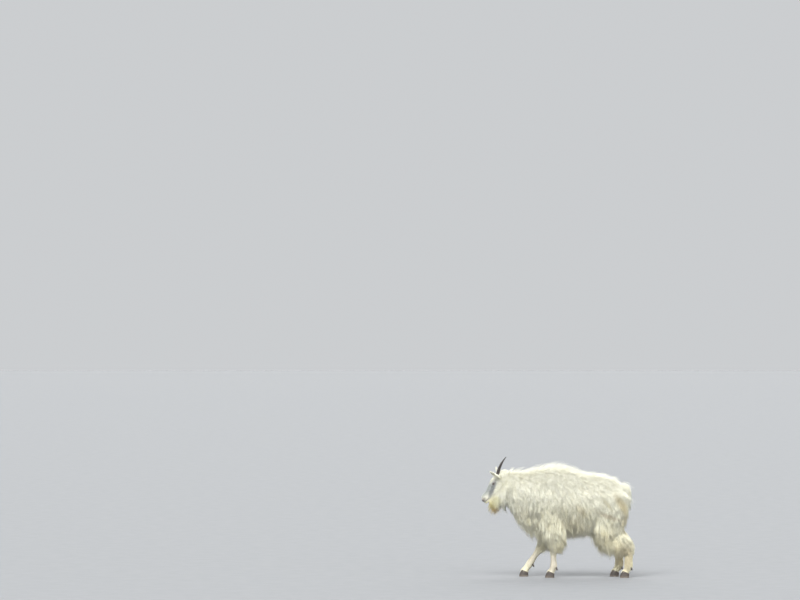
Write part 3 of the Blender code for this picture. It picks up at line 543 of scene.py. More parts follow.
# Under the throat, the brisket and the belly
HANGING_X = [-0.50, -0.43, -0.35, -0.25, -0.14, -0.05, 0.05, 0.10, 0.26, 0.35, 0.50]
HANGING_LENGTH = [0.100, 0.150, 0.215, 0.260, 0.265, 0.205, 0.180, 0.165, 0.140, 0.125, 0.105]

# Down the legs: height, then length before and behind, thickness
FORE_COAT = [
    (0.020, 0.010, 0.012, 0.003),
    (0.060, 0.016, 0.022, 0.005),
    (0.100, 0.018, 0.028, 0.006),
    (0.150, 0.015, 0.020, 0.005),
    (0.220, 0.018, 0.030, 0.007),
    (0.265, 0.030, 0.060, 0.010),
    (0.310, 0.060, 0.120, 0.016),
    (0.360, 0.105, 0.175, 0.022),
    (0.440, 0.160, 0.215, 0.027),
    (0.520, 0.190, 0.235, 0.032),
]
HIND_COAT = [
    (0.020, 0.010, 0.012, 0.003),
    (0.060, 0.016, 0.022, 0.005),
    (0.100, 0.030, 0.040, 0.010),
    (0.150, 0.042, 0.045, 0.013),
    (0.230, 0.050, 0.052, 0.014),
    (0.275, 0.085, 0.075, 0.014),
    (0.320, 0.145, 0.085, 0.020),
    (0.370, 0.205, 0.120, 0.030),
    (0.430, 0.235, 0.170, 0.036),
    (0.520, 0.245, 0.205, 0.040),
]

# On the head by the distance from the muzzle: length on the face, and under the jaw
FACE_ALONG = [0.00, 0.03, 0.10, 0.15, 0.19, 0.22, 0.25, 0.29]
FACE_LENGTH = [0.005, 0.008, 0.011, 0.014, 0.022, 0.046, 0.060, 0.070]
BEARD_ALONG = [0.020, 0.050, 0.076, 0.102, 0.128, 0.156, 0.200, 0.250]
BEARD_LENGTH = [0.012, 0.090, 0.135, 0.175, 0.190, 0.188, 0.178, 0.160]

SPILL = 0.004  # how far the coat may pass the box of the solids
COAT_LOW = np.array(CAD_BOX[0]) - (SPILL, SPILL, 0)
COAT_HIGH = np.array(CAD_BOX[1]) + SPILL
SINK = 0.003  # how deep a tuft's root lies in the skin
REACH = 0.12  # how far the skin is looked for from a point of a tuft
CLEARANCE = 0.0015  # what is left between a tuft and the skin
FLOOR_GAP = 0.003
STRAY = 0.07  # how far a tuft's direction strays from its lie
CLUMP_STRAY = 0.05
CLUMP_STEPS = 4
RIDGE = 0.55  # a tuft's height over half its width
LONG = 0.185  # a tuft longer than this has four steps
SHORT = 0.028  # and one no longer than this has two
STEPS = {"long": 4, "middle": 3, "short": 2}
SWELL = {"long": [0.65, 1.0, 0.86, 0.52], "middle": [0.75, 1.0, 0.62], "short": [0.9, 0.75]}
BAKE_PATCH = 0.003

AXIS_ROWS = NECK[:4] + TRUNK[2:]


def mixed(first, second, share):
    """From the first value to the second as share goes from 0 to 1, for numbers or vectors."""
    share = share[:, None] if np.ndim(first) > 1 or np.ndim(second) > 1 else share
    return first * (1 - share) + second * share


def body_coat(p, n):
    """The coat over trunk and neck."""
    x, y, z = p.T
    middle = np.interp(x, [row[0] for row in AXIS_ROWS], [row[2] for row in AXIS_ROWS])
    angle = np.degrees(np.arctan2(z - middle, np.abs(y)))
    top = ramp(angle, 50, 84)
    under = ramp(-angle, 40, 75)
    length = mixed(np.interp(angle, ANGLES, BODY_LENGTH), np.interp(x, CREST_X, CREST_LENGTH), top)
    length = mixed(length, np.interp(x, HANGING_X, HANGING_LENGTH), under)
    length = length * np.interp(x, [-0.52, -0.36], [0.72, 1.0])
    behind = ramp(x, 0.34, 0.56)
    length = length * (1 - 0.18 * behind * ramp(angle, 0, 60))
    lift = mixed(np.interp(angle, ANGLES, BODY_LIFT), np.interp(x, CREST_X, CREST_RISE), top)
    thickness = np.interp(angle, ANGLES, BODY_THICKNESS)
    thickness = mixed(thickness, np.interp(x, CREST_X, CREST_THICKNESS), top)
    run_back = np.interp(angle, ANGLES, BODY_RUN_BACK) * (1 - 0.50 * behind * top)
    run_back = run_back + 0.42 * ramp(x, 0.02, 0.36) * ramp(angle, -60, 20)
    end = ramp(x, 0.46, 0.58)
    run_back = run_back * (1 - 0.50 * end)
    lie = BACK * run_back[:, None] + DOWN + SIDEWAYS * (np.sign(y) * 0.35 * top)[:, None]
    rump = ramp(n[:, 0], 0.25, 0.80) * (x > 0.40)
    smooth = ramp(angle, -25, 45)
    droop = 0.30 + 0.04 * top + 1.00 * rump + 0.30 * behind + 0.90 * end
    return {
        "lie": lie,
        "length": length,
        "lift": lift * (1 - 0.5 * rump),
        "rise": (0.04 + 0.22 * lift * top) * (1 - 0.6 * behind),
        "droop": droop + 0.60 * ramp(-angle, -15, 30),
        "thickness": thickness * (1 - 0.10 * rump),
        "width": 0.0021 - 0.0002 * smooth,
        "density": mixed(41000, 16000, under * ramp(0.05 - np.abs(y), 0, 0.03)),
        "clump": 0.022 - 0.003 * smooth,
        "pull": 0.38 - 0.14 * smooth + 0.30 * under,
    }


def leg_coat(p, stations, table, run_back):
    """The coat of one leg, long above and short below."""
    x, _, z = p.T
    rows = sorted(stations, key=lambda row: row[1])
    middle = np.interp(z, [row[1] for row in rows], [row[0] for row in rows])
    depth = np.interp(z, [row[1] for row in rows], [row[3] for row in rows])
    behind = ramp((x - middle) / depth, -0.9, 0.9)
    heights = [row[0] for row in table]
    before, after, thick = (np.interp(z, heights, [row[i] for row in table]) for i in (1, 2, 3))
    length = mixed(before, after, behind)
    long = ramp(length, 0.05, 0.12)
    return {
        "lie": DOWN + BACK * (run_back * long * (0.15 + 1.45 * behind))[:, None],
        "length": length,
        "lift": 0.30 + 0.25 * long,
        "rise": 0.04,
        "droop": 0.30,
        "thickness": thick * (0.65 + 0.35 * behind),
        "width": 0.0015 + 0.0006 * long,
        "density": mixed(70000, 40000, long),
        "clump": 0.013 + 0.009 * long,
        "pull": 0.28 + 0.34 * long,
    }


def head_place(p):
    """Distance along the face from the muzzle, and above the head's axis."""
    return (p - MUZZLE) @ FACE_AXIS, (p - MUZZLE) @ FACE_UP


def from_eye(p):
    """From the nearer eye to each point, along the face, sideways and out of it."""
    off = np.stack([p[:, 0] - EYE[0], np.abs(p[:, 1]) - EYE[1], p[:, 2] - EYE[2]], axis=1)
    return np.stack([off @ FACE_AXIS, off[:, 1], off @ FACE_UP], axis=1)


def head_coat(p):
    """Short on the face, longer on the cheeks and the crown, and a beard under the jaw."""
    along, up = head_place(p)
    low = ramp(-up, 0.004, 0.034) * ramp(along, 0.026, 0.052)
    cheek = ramp(-up, -0.045, 0.01) * ramp(along, 0.10, 0.20)
    face = mixed(np.interp(along, FACE_ALONG, FACE_LENGTH), 0.045, cheek * 0.75)
    length = mixed(face, np.interp(along, BEARD_ALONG, BEARD_LENGTH), low)
    long = ramp(length, 0.02, 0.08)
    crown = ramp(along, 0.20, 0.24) * ramp(up, 0.03, 0.06)
    lie = mixed(FACE_AXIS + 0.25 * DOWN + 0 * p, DOWN + 0.18 * BACK + 0 * p, low)
    lie = mixed(lie, BACK + np.array([0, 0, 0.5]) + 0 * p, crown)
    eye = from_eye(p)
    near = ramp(-np.linalg.norm(eye, axis=1), -0.038, -0.013)
    away = unit(eye[:, :1] * FACE_AXIS + eye[:, 2:] * FACE_UP)
    lie = mixed(lie, away + 0.3 * FACE_AXIS, 0.9 * near)
    return {
        "lie": lie,
        "length": length * (1 - 0.55 * near),
        "lift": 0.09 + 0.38 * long + 1.0 * low + 0.6 * crown,
        "rise": 0.04 + 0.20 * crown,
        "droop": 0.10 + 0.35 * long,
        "thickness": 0.0015 + 0.0145 * long + 0.014 * crown,
        "width": 0.0009 + 0.0008 * long,
        "density": mixed(230000, 80000, long),
        "clump": 0.010 + 0.012 * long,
        "pull": 0.25 + 0.35 * long,
    }


def ear_coat(p, n, base, tip, side):
    """Short hair that runs from the ear's root to its tip, longer along the inner edge."""
    inner = ramp(n @ unit(ear_front(side)), 0.0, 0.5)
    line = np.array(tip) - np.array(base)
    end = ramp((p - np.array(base)) @ line / (line @ line), 0.70, 1.0)
    return {
        "lie": unit(line),
        "length": (0.022 + 0.006 * inner) * (1 - 0.35 * end),
        "lift": (0.26 - 0.14 * inner) * (1 - 0.75 * end),
        "rise": 0.06 * (1 - end),
        "droop": 0.05,
        "thickness": 0.005 - 0.003 * inner,
        "width": 0.0011,
        "density": 150000 - 40000 * inner,
        "clump": 0.012,
        "pull": 0.35,
    }


def tail_coat(p):
    """Long hair that hangs down from the tail."""
    return {
        "lie": DOWN + 0.25 * BACK,
        "length": np.interp(p[:, 2], [0.72, 0.78, 0.85], [0.110, 0.150, 0.095]),
        "lift": 0.06,
        "rise": 0.00,
        "droop": 1.50,
        "thickness": 0.014,
        "width": 0.0020,
        "density": 60000,
        "clump": 0.028,
        "pull": 0.75,
    }


def near_ear(p, base, tip):
    """1 where a point belongs to an ear, 0 away from it."""
    base, tip = np.array(base), np.array(tip)
    ahead = unit(tip - base)
    along = (p - base) @ ahead
    nearest = np.clip(along, 0, np.linalg.norm(tip - base))[:, None] * ahead
    away = np.linalg.norm(p - base - nearest, axis=1)
    return ((along > 0.012) & (away < 0.031)).astype(float)


def blended(coat, other, share):
    """One coat passing into another."""
    return {key: mixed(coat[key], other[key], share) for key in coat}


def shares(p):
    """How far each point belongs to the head, the tail, each ear and each leg."""
    x, y, z = p.T
    found = {"head": ramp(-x, 0.475, 0.515)}
    for name, base, tip, _ in EARS:
        found["ear_" + name] = near_ear(p, base, tip)
    for name, stations, side in LEGS:
        below = ramp(-z, -0.535, -0.450) * (y * side > 0) * ((x > 0.2) == (stations[0][0] > 0))
        found["leg_" + name] = below.astype(float)
    found["tail"] = ((x > 0.612) & (np.abs(y) < 0.034) & (z > 0.70)).astype(float)
    return found


def coat_at(p, n):
    """Everything that says how the hair grows at points of the skin."""
    share = shares(p)
    coat = body_coat(p, n)
    for name, stations, side in LEGS:
        table, run_back = (FORE_COAT, 0.50) if stations[0][0] < 0 else (HIND_COAT, 0.46)
        coat = blended(coat, leg_coat(p, stations, table, run_back), share["leg_" + name])
    coat = blended(coat, head_coat(p), share["head"])
    coat = blended(coat, tail_coat(p), share["tail"])
    for name, base, tip, side in EARS:
        coat = blended(coat, ear_coat(p, n, base, tip, side), share["ear_" + name])
    coat["density"] = coat["density"] * kept_bare(p)
    return coat


def outside(along, up, half_length, half_height):
    """True past the edge of an ellipse."""
    return (along / half_length) ** 2 + (up / half_height) ** 2 > 1


def kept_bare(p):
    """0 on eyelids, lips, nostrils and inside the mouth, 1 where hair grows."""
    along, up = head_place(p)
    eye = from_eye(p)
    open_eye = outside(eye[:, 0], eye[:, 2], EYE_OPENING[0] + LID_RIM, EYE_OPENING[1] + LID_RIM)
    nose = outside(along - NOSE[0], up - NOSE[1], NOSE[2], NOSE[3])
    lips = (along > MOUTH_CORNER) | (np.abs(up - MOUTH_HEIGHT) > LIP_RIM)
    off_face = p[:, 0] > -0.45
    hoof = p[:, 2] > 0.034
    return (off_face | (open_eye & nose & lips)) & hoof


# Coat: tufts


def surface_arrays(obj):
    """Points, smooth normals and triangles of a mesh."""
    mesh = obj.data
    mesh.calc_loop_triangles()
    points = np.empty(len(mesh.vertices) * 3)
    normals = np.empty(len(mesh.vertices) * 3)
    corners = np.empty(len(mesh.loop_triangles) * 3, np.int32)
    mesh.vertices.foreach_get("co", points)
    mesh.vertices.foreach_get("normal", normals)
    mesh.loop_triangles.foreach_get("vertices", corners)
    return points.reshape(-1, 3), normals.reshape(-1, 3), corners.reshape(-1, 3)


def draw_roots(points, normals, corners, density, chance):
    """Places spread over the triangles, as many to each as its area and the density ask."""
    a, b, c = (points[corners[:, k]] for k in range(3))
    area = np.linalg.norm(np.cross(b - a, c - a), axis=1) / 2
    counts = np.floor(area * density + chance.random(len(area))).astype(int)
    rows = np.repeat(np.arange(len(area)), counts)
    u, v = chance.random(len(rows)), chance.random(len(rows))
    flip = u + v > 1
    u[flip], v[flip] = 1 - u[flip], 1 - v[flip]
    weights = np.stack([1 - u - v, u, v], axis=1)[:, :, None]
    places = (points[corners[rows]] * weights).sum(axis=1)
    return places, unit((normals[corners[rows]] * weights).sum(axis=1))


def kept_off(surface, points, distances):
    """Points moved out where they are nearer to the skin than their distance, or inside it."""
    moved = points.copy()
    for i, (point, distance) in enumerate(zip(points.tolist(), distances.tolist())):
        near, normal, _, _ = surface.find_nearest(point, REACH)
        if near is None:
            continue
        off = sum((point[k] - near[k]) * normal[k] for k in range(3))
        if off < distance:
            moved[i] = [point[k] + normal[k] * (distance - off) for k in range(3)]
    return moved


def hair_lines(surface, roots, normals, coat, chance, spread, steps):
    """The middle line of each tuft, which leaves the skin and turns to lie along it."""
    stray = chance.normal(0, 1, roots.shape) * spread
    lie = coat["lie"] + stray * np.linalg.norm(coat["lie"], axis=1)[:, None]
    lie = unit(lie - normals * (lie * normals).sum(axis=1)[:, None])
    begin = lie + normals * (coat["lift"] * chance.uniform(0.85, 1.20, len(roots)))[:, None]
    end = lie + DOWN * coat["droop"][:, None] + normals * coat["rise"][:, None]
    step = (coat["length"] / steps)[:, None]
    here = roots - normals * SINK
    line = [here]
    for k in range(steps):
        t = (k + 0.5) / steps
        share = 1 - (1 - t) ** 1.5
        here = here + unit(begin * (1 - share) + end * share) * step
        height = coat["thickness"] * min(1.0, 1.6 * (k + 1) / steps)
        here = kept_off(surface, here, height)
        line.append(here)
    return np.stack(line, axis=1)


def chosen(coat, rows):
    return {key: value[rows] for key, value in coat.items()}


def clump_of(roots, normals, centres, centre_normals, size):
    """The nearest clump of each root, and whether it is near enough and faces the same way."""
    tree = KDTree(len(centres))
    for i, centre in enumerate(centres):
        tree.insert(centre, i)
    tree.balance()
    found = [tree.find(root) for root in roots]
    index = np.array([f[1] for f in found])
    distance = np.array([f[2] for f in found])
    alike = (normals * centre_normals[index]).sum(axis=1) > 0.3
    return index, alike & (distance < 1.5 * size)


def piece_names(p):
    """The name of the coat piece that each root belongs to."""
    x, y, z = p.T
    share = shares(p)
    side = np.where(y < 0, "left", "right")
    bands = np.array(["coat_neck_", "coat_shoulder_", "coat_flank_", "coat_haunch_"])
    name = np.char.add(bands[np.digitize(x, [-0.27, -0.02, 0.25])], side)
    for leg, _, _ in LEGS:
        on_leg = share["leg_" + leg] > 0.5
        name = np.where(on_leg, "coat_leg_" + leg, name)
        name = np.where(on_leg & (z < 0.27), "coat_shin_" + leg, name)
    name = np.where(share["tail"] > 0.5, "coat_tail", name)
    along, up = head_place(p)
    name = np.where(share["head"] > 0.5, np.where(up < -0.012, "coat_beard", "coat_face"), name)
    for ear, _, _, _ in EARS:
        name = np.where(share["ear_" + ear] > 0.5, "coat_ears", name)
    return name


def tuft_shapes(line, outward, width, kind):
    """Corners of flat tufts of three sides that end in a point: (tufts, corners, 3)."""
    heading = unit(np.gradient(line, axis=1))[:, :-1]
    across = unit(np.cross(heading, outward[:, None, :]))
    above = np.cross(across, heading)
    half = (width[:, None] / 2 * np.array(SWELL[kind])[None, :])[..., None]
    middle = line[:, :-1]
    sides = [middle + across * half, middle - across * half, middle + above * half * RIDGE]
    corners = np.stack(sides, axis=2).reshape(len(line), -1, 3)
    return np.concatenate([corners, line[:, -1:]], axis=1)


def tuft_faces(steps):
    """Faces of one tuft: quads along it, three triangles at the tip and one at the root."""
    faces = []
    for j in range(steps - 1):
        for c in range(3):
            d = (c + 1) % 3
            faces.append((3 * j + c, 3 * j + d, 3 * j + 3 + d, 3 * j + 3 + c))
    last = 3 * (steps - 1)
    faces += [(last + c, last + (c + 1) % 3, 3 * steps) for c in range(3)]
    return faces + [(2, 1, 0)]


def tuft_patch(steps):
    """Where each corner of a tuft lies in its own small patch of the map."""
    places = [(across, j / steps - 0.5) for j in range(steps) for across in (0.5, -0.5, 0.0)]
    return np.array(places + [(0.0, 0.5)]) * BAKE_PATCH


def coat_mesh(name, groups):
    """One mesh of all the tufts in the groups: (kind, corner points, map places, shades)."""
    points, corners, totals, places, tips, shade_values = [], [], [], [], [], []
    start = 0
    for kind, shapes, root_map, shade in groups:
        steps = STEPS[kind]
        faces = tuft_faces(steps)
        order = np.concatenate([np.array(face) for face in faces])
        count, size = shapes.shape[:2]
        points.append(shapes.reshape(-1, 3))
        corners.append((start + np.arange(count)[:, None] * size + order[None, :]).ravel())
        totals.append(np.tile([len(face) for face in faces], count))
        places.append((root_map[:, None, :] + tuft_patch(steps)[order][None, :, :]).reshape(-1, 2))
        tips.append(np.tile(np.append(np.repeat(np.arange(steps) / steps, 3), 1.0), count))
        shade_values.append(np.repeat(shade, size))
        start += count * size
    points, corners, totals = np.vstack(points), np.concatenate(corners), np.concatenate(totals)
    mesh = bpy.data.meshes.new(name)
    mesh.vertices.add(len(points))
    mesh.vertices.foreach_set("co", points.astype(np.float32).ravel())
    mesh.loops.add(len(corners))
    mesh.loops.foreach_set("vertex_index", corners.astype(np.int32))
    mesh.polygons.add(len(totals))
    mesh.polygons.foreach_set("loop_start", np.append(0, np.cumsum(totals)[:-1]).astype(np.int32))
    unwrap = mesh.uv_layers.new(name="OFBake")
    unwrap.data.foreach_set("uv", np.vstack(places).astype(np.float32).ravel())
    for key, values in (("tip", tips), ("shade", shade_values)):
        layer = mesh.attributes.new(key, "FLOAT", "POINT")
        layer.data.foreach_set("value", np.concatenate(values).astype(np.float32))
    mesh.update(calc_edges=True)
    mesh.shade_smooth()
    obj = bpy.data.objects.new(name, mesh)
    bpy.context.scene.collection.objects.link(obj)
    return obj


def around(rows, p):
    """A point's distance along an axis and its turn about it, for an axis in a plane of constant y."""
    centres = spline(rows, 8)[:, :3]
    travel, upper = axes_along(centres)
    distance = np.linalg.norm(p[:, None, :] - centres[None, :, :], axis=2)
    near = distance.argmin(axis=1)
    gone = np.append(0, np.cumsum(np.linalg.norm(np.diff(centres, axis=0), axis=1)))
    off = p - centres[near]
    along = gone[near] + (off * travel[near]).sum(axis=1)
    return along, np.arctan2(off @ SIDEWAYS, -(off * upper[near]).sum(axis=1))


def axis_of(name):
    """The axis that a coat piece is unwrapped about."""
    for leg, stations, side in LEGS:
        if name.endswith(leg):
            return leg_rows(stations, side)
    if "tail" in name:
        return TAIL
    if "face" in name or "beard" in name or "ears" in name:
        return HEAD
    return AXIS_ROWS


def spread_out(values):
    """Values moved and scaled to run from near 0 to near 1."""
    low, high = values.min(), values.max()
    return 0.01 + 0.98 * (values - low) / max(high - low, 1e-6)


def unwrapped(name, p):
    """The places of roots on the skin unrolled about its axis, filling the map."""
    along, turn = around(axis_of(name), p)
    return np.stack([spread_out(turn), spread_out(along)], axis=1)


def drawn_from(lines, share):
    """The point at a share of the length of each line."""
    place = share * (lines.shape[1] - 1)
    low = min(int(place), lines.shape[1] - 2)
    return lines[:, low] * (1 - place + low) + lines[:, low + 1] * (place - low)


def grown(surface, roots, normals, coat, guides, pull, chance, steps):
    """The middle lines of tufts, each drawn towards the guide line of its clump."""
    lines = hair_lines(surface, roots, normals, coat, chance, STRAY, steps)
    t = np.linspace(0, 1, steps + 1)
    guide = np.stack([drawn_from(guides, share) for share in t], axis=1)
    weight = pull[:, None] * t[None, :] ** 1.6
    lines = lines + (guide - lines) * weight[..., None]
    for k in range(1, steps + 1):
        lines[:, k] = kept_off(surface, lines[:, k], np.full(len(lines), CLEARANCE))
    lines[..., 2] = np.maximum(lines[..., 2], FLOOR_GAP)
    return lines


def coat_piece(name, found, roots, shade):
    """One piece of the coat from its groups of tufts: (kind, corner points, rows of their roots)."""
    order = np.concatenate([rows for _, _, rows in found])
    cuts = np.cumsum([len(rows) for _, _, rows in found])[:-1]
    parts = zip(found, np.split(unwrapped(name, roots[order]), cuts))
    return coat_mesh(name, [(kind, shapes, uv, shade[rows]) for (kind, shapes, rows), uv in parts])


def make_coat(skin):
    """All the tufts, as one object for each piece of the coat."""
    chance = np.random.default_rng(11)
    points, normals, corners = surface_arrays(skin)
    surface = BVHTree.FromPolygons(points.tolist(), corners.tolist())
    growth = coat_at(points[corners].mean(axis=1), unit(normals[corners].mean(axis=1)))
    roots, root_normals = draw_roots(points, normals, corners, growth["density"], chance)
    clumps_wanted = (growth["density"] > 0) / (0.8 * growth["clump"] ** 2)
    centres, centre_normals = draw_roots(points, normals, corners, clumps_wanted, chance)
    coat = coat_at(roots, root_normals)
    clump, joined = clump_of(roots, root_normals, centres, centre_normals, coat["clump"])

    clump_coat = coat_at(centres, centre_normals)
    clump_size = chance.uniform(0.80, 1.18, len(centres))
    clump_coat["length"] = clump_coat["length"] * clump_size
    clump_shade = chance.normal(0, 1, len(centres))
    guides = hair_lines(surface, centres, centre_normals, clump_coat, chance, CLUMP_STRAY, CLUMP_STEPS)

    coat["length"] = coat["length"] * clump_size[clump] * chance.uniform(0.72, 1.04, len(roots))
    coat["thickness"] = coat["thickness"] * chance.uniform(0.25, 1.0, len(roots))
    coat["width"] = coat["width"] * chance.uniform(0.60, 1.45, len(roots))
    pull = coat["pull"] * joined * chance.uniform(0.25, 1.10, len(roots))
    shade = 0.45 * clump_shade[clump] + 0.60 * chance.normal(0, 1, len(roots))
    kinds = np.where(coat["length"] > LONG, "long", np.where(coat["length"] > SHORT, "middle", "short"))
    names = piece_names(roots)

    groups = {}
    for kind, steps in STEPS.items():
        rows = np.flatnonzero(kinds == kind)
        own, own_guides = chosen(coat, rows), guides[clump[rows]]
        lines = grown(surface, roots[rows], root_normals[rows], own, own_guides, pull[rows], chance, steps)
        inside = ((lines > COAT_LOW) & (lines < COAT_HIGH)).all(axis=(1, 2))
        lines, rows = lines[inside], rows[inside]
        outward = unit(root_normals[rows] + chance.normal(0, 0.30, (len(rows), 3)))
        shapes = tuft_shapes(lines, outward, coat["width"][rows], kind)
        for name in np.unique(names[rows]):
            same = names[rows] == name
            groups.setdefault(str(name), []).append((kind, shapes[same], rows[same]))
    return [coat_piece(name, found, roots, shade) for name, found in groups.items()]


# Materials


def srgb(red, green, blue):
    """A colour given as it is seen, from 0 to 255, as the renderer's own numbers."""
    seen = [value / 255 for value in (red, green, blue)]
    return tuple(v / 12.92 if v <= 0.04045 else ((v + 0.055) / 1.055) ** 2.4 for v in seen) + (1.0,)


CREAM_WHITE = srgb(252, 252, 241)
LOW_COAT = srgb(248, 247, 230)
LIMB_COAT = srgb(248, 245, 223)
GRIME = srgb(212, 203, 166)
BARE_SKIN = srgb(88, 82, 80)
HORN_BLACK = srgb(30, 27, 26)
HOOF_BLACK = srgb(52, 46, 42)

# Markings, some of them painted shade: x and z of the middle, half length, half height, tilt, colour and
# strength
WIDER_THAN_BODY = 50  # half width of a marking, which lies on both sides
FACE_TILT = -0.770  # turns a marking to lie along the face
# turns the painted shadow below and round the eye to lie along the face
SHADOW_STRIPE_TILT = -1.17
SMALL_MARK = 0.05  # a marking flatter than this has an even edge
MARKS = [
    (0.060, 0.535, 0.420, 0.150, 0.00, srgb(232, 229, 204), 0.25),  # painted shade on the lower flank
    (0.205, 0.610, 0.085, 0.040, 0.90, srgb(216, 202, 164), 0.40),  # streak on the flank
    (0.445, 0.670, 0.080, 0.020, 0.90, srgb(208, 200, 160), 0.45),  # streak on the haunch
    (0.455, 0.560, 0.120, 0.026, 0.33, srgb(200, 184, 152), 0.45),  # painted shadow in the fold between flank and thigh
    (0.155, 0.475, 0.125, 0.105, 0.25, srgb(214, 202, 162), 0.35),  # stain before the thigh
    (-0.020, 0.500, 0.090, 0.100, 0.00, srgb(222, 218, 194), 0.30),  # behind the elbow
    (0.578, 0.660, 0.140, 0.045, 1.00, srgb(206, 190, 138), 0.60),  # stain on the rump
    (0.610, 0.500, 0.060, 0.120, 0.00, srgb(214, 200, 164), 0.45),  # back of the thigh
    (0.440, 0.330, 0.150, 0.160, 0.00, srgb(232, 222, 178), 0.30),  # hair over the hocks
    (0.045, 0.265, 0.080, 0.090, 0.20, srgb(218, 206, 150), 0.40),  # fringe of the forearm
    (-0.330, 0.560, 0.120, 0.090, 0.00, srgb(224, 220, 200), 0.45),  # throat
    (-0.620, 0.650, 0.060, 0.075, 0.00, srgb(222, 210, 146), 0.90),  # beard
    (-0.588, 0.598, 0.060, 0.044, 0.00, srgb(196, 168, 98), 0.85),  # tip of the beard
    (-0.490, 0.840, 0.100, 0.130, 0.00, srgb(220, 220, 204), 0.60),  # painted shade on the cheek and side of the neck
    (-0.605, 0.795, 0.120, 0.120, 0.00, srgb(208, 209, 199), 0.75),  # face: a little greyer where short hair shows the skin, and painted shade
    (-0.657, 0.804, 0.145, 0.048, FACE_TILT, srgb(148, 155, 160), 0.84),  # painted shade on the bridge of the nose
    (-0.575, 0.700, 0.060, 0.050, 0.00, srgb(216, 214, 170), 0.60),  # jaw
    (-0.614, 0.794, 0.098, 0.023, SHADOW_STRIPE_TILT, srgb(94, 98, 108), 0.80),  # painted shadow in a stripe below the eye
    (-0.594, 0.866, 0.034, 0.024, SHADOW_STRIPE_TILT, srgb(104, 104, 112), 0.70),  # painted shade round the eye
    (-0.690, 0.708, 0.036, 0.028, FACE_TILT, srgb(120, 116, 110), 0.80),  # nose
    (-0.060, 0.140, 0.080, 0.130, 0.00, srgb(190, 182, 180), 0.60),  # standing fore shin
    (-0.240, 0.180, 0.090, 0.120, 0.00, srgb(190, 182, 176), 0.60),  # reaching fore shin
    (0.600, 0.180, 0.110, 0.150, 0.00, srgb(222, 206, 166), 0.60),  # hind shins
]


def new_material(name):
    """A material, its nodes and its shader."""
    material = bpy.data.materials.new(name)
    material.use_nodes = True
    tree = material.node_tree
    return material, tree, next(n for n in tree.nodes if n.type == "BSDF_PRINCIPLED")


def fill(tree, made, inputs):
    """Inputs of a node, each set to a value or joined to another node's output."""
    for key, value in inputs.items():
        if isinstance(value, bpy.types.NodeSocket):
            tree.links.new(value, made.inputs[key])
        else:
            made.inputs[key].default_value = value


def node(tree, kind, inputs, **settings):
    """A node with its settings and inputs."""
    made = tree.nodes.new("ShaderNode" + kind)
    for key, value in settings.items():
        setattr(made, key, value)
    fill(tree, made, inputs)
    return made


def reckon(tree, operation, first, second):
    """A sum, product or greater value of two numbers."""
    return node(tree, "Math", {0: first, 1: second}, operation=operation).outputs[0]


def length_of(tree, vector):
    return node(tree, "VectorMath", {0: vector}, operation="LENGTH").outputs["Value"]


def bump(tree, height, strength, distance, **settings):
    inputs = {"Strength": strength, "Distance": distance, "Height": height}
    return node(tree, "Bump", inputs, **settings).outputs[0]


def mix(tree, factor, first, second, blend="MIX"):
    made = node(tree, "Mix", {0: factor, 6: first, 7: second}, data_type="RGBA", blend_type=blend)
    return made.outputs[2]


def remap(tree, value, low, high, to_low=0.0, to_high=1.0, smooth=True):
    inputs = {"Value": value, 1: low, 2: high, 3: to_low, 4: to_high}
    made = node(tree, "MapRange", inputs, interpolation_type="SMOOTHSTEP" if smooth else "LINEAR")
    return made.outputs[0]


def tinted(tree, colour, value, low, high, first, second):
    """The colour multiplied by a tint that goes from the first to the second as the value rises."""
    return mix(tree, 1.0, colour, mix(tree, remap(tree, value, low, high), first, second), "MULTIPLY")


def noise(tree, position, scale, detail=3.0, stretch=(1, 1, 1)):
    """A noise between 0 and 1, stretched where asked."""
    mapped = node(tree, "Mapping", {"Vector": position, "Scale": stretch})
    made = node(tree, "TexNoise", {"Vector": mapped.outputs[0], "Scale": scale, "Detail": detail})
    return made.outputs[0]


def position_of(tree):
    return node(tree, "TexCoord", {}).outputs["Object"]


def marking(tree, position, x, z, half_length, half_height, tilt, outer=1.25, inner=0.25):
    """1 in the middle of a marking and 0 past its edge, the same on both sides of the body."""
    turned = {"Vector": position, "Location": (x, 0, z), "Rotation": (0, tilt, 0)}
    size = (half_length, WIDER_THAN_BODY, half_height)
    mapped = node(tree, "Mapping", {**turned, "Scale": size}, vector_type="TEXTURE")
    return remap(tree, length_of(tree, mapped.outputs[0]), outer, inner)


def coat_colour(tree, position):
    """The markings of skin and coat, some of them painted shade on the face, cheek, flank and fold before
    the thigh.
    """
    wander = node(tree, "TexNoise", {"Vector": position, "Scale": 9.0, "Detail": 3.0}).outputs["Color"]
    shift = node(tree, "VectorMath", {0: wander, 1: (0.5, 0.5, 0.5)}, operation="SUBTRACT").outputs[0]
    inputs = {0: shift, 1: (0.07, 0.0, 0.07), 2: position}
    moved = node(tree, "VectorMath", inputs, operation="MULTIPLY_ADD").outputs[0]
    height = node(tree, "SeparateXYZ", {0: moved}).outputs[2]
    colour = mix(tree, remap(tree, height, 0.82, 0.46), CREAM_WHITE, LOW_COAT)
    colour = mix(tree, remap(tree, height, 0.50, 0.26), colour, LIMB_COAT)
    grime = noise(tree, position, 1.0, 3.0, (26, 26, 9))
    low = remap(tree, height, 0.72, 0.50)
    grime = reckon(tree, "MULTIPLY", remap(tree, grime, 0.48, 0.74, 0.0, 0.50), low)
    colour = mix(tree, grime, colour, GRIME)
    for x, z, half_length, half_height, tilt, shade, strength in MARKS:
        place = position if half_height < SMALL_MARK else moved
        spot = marking(tree, place, x, z, half_length, half_height, tilt)
        colour = mix(tree, reckon(tree, "MULTIPLY", spot, strength), colour, shade)
    return colour


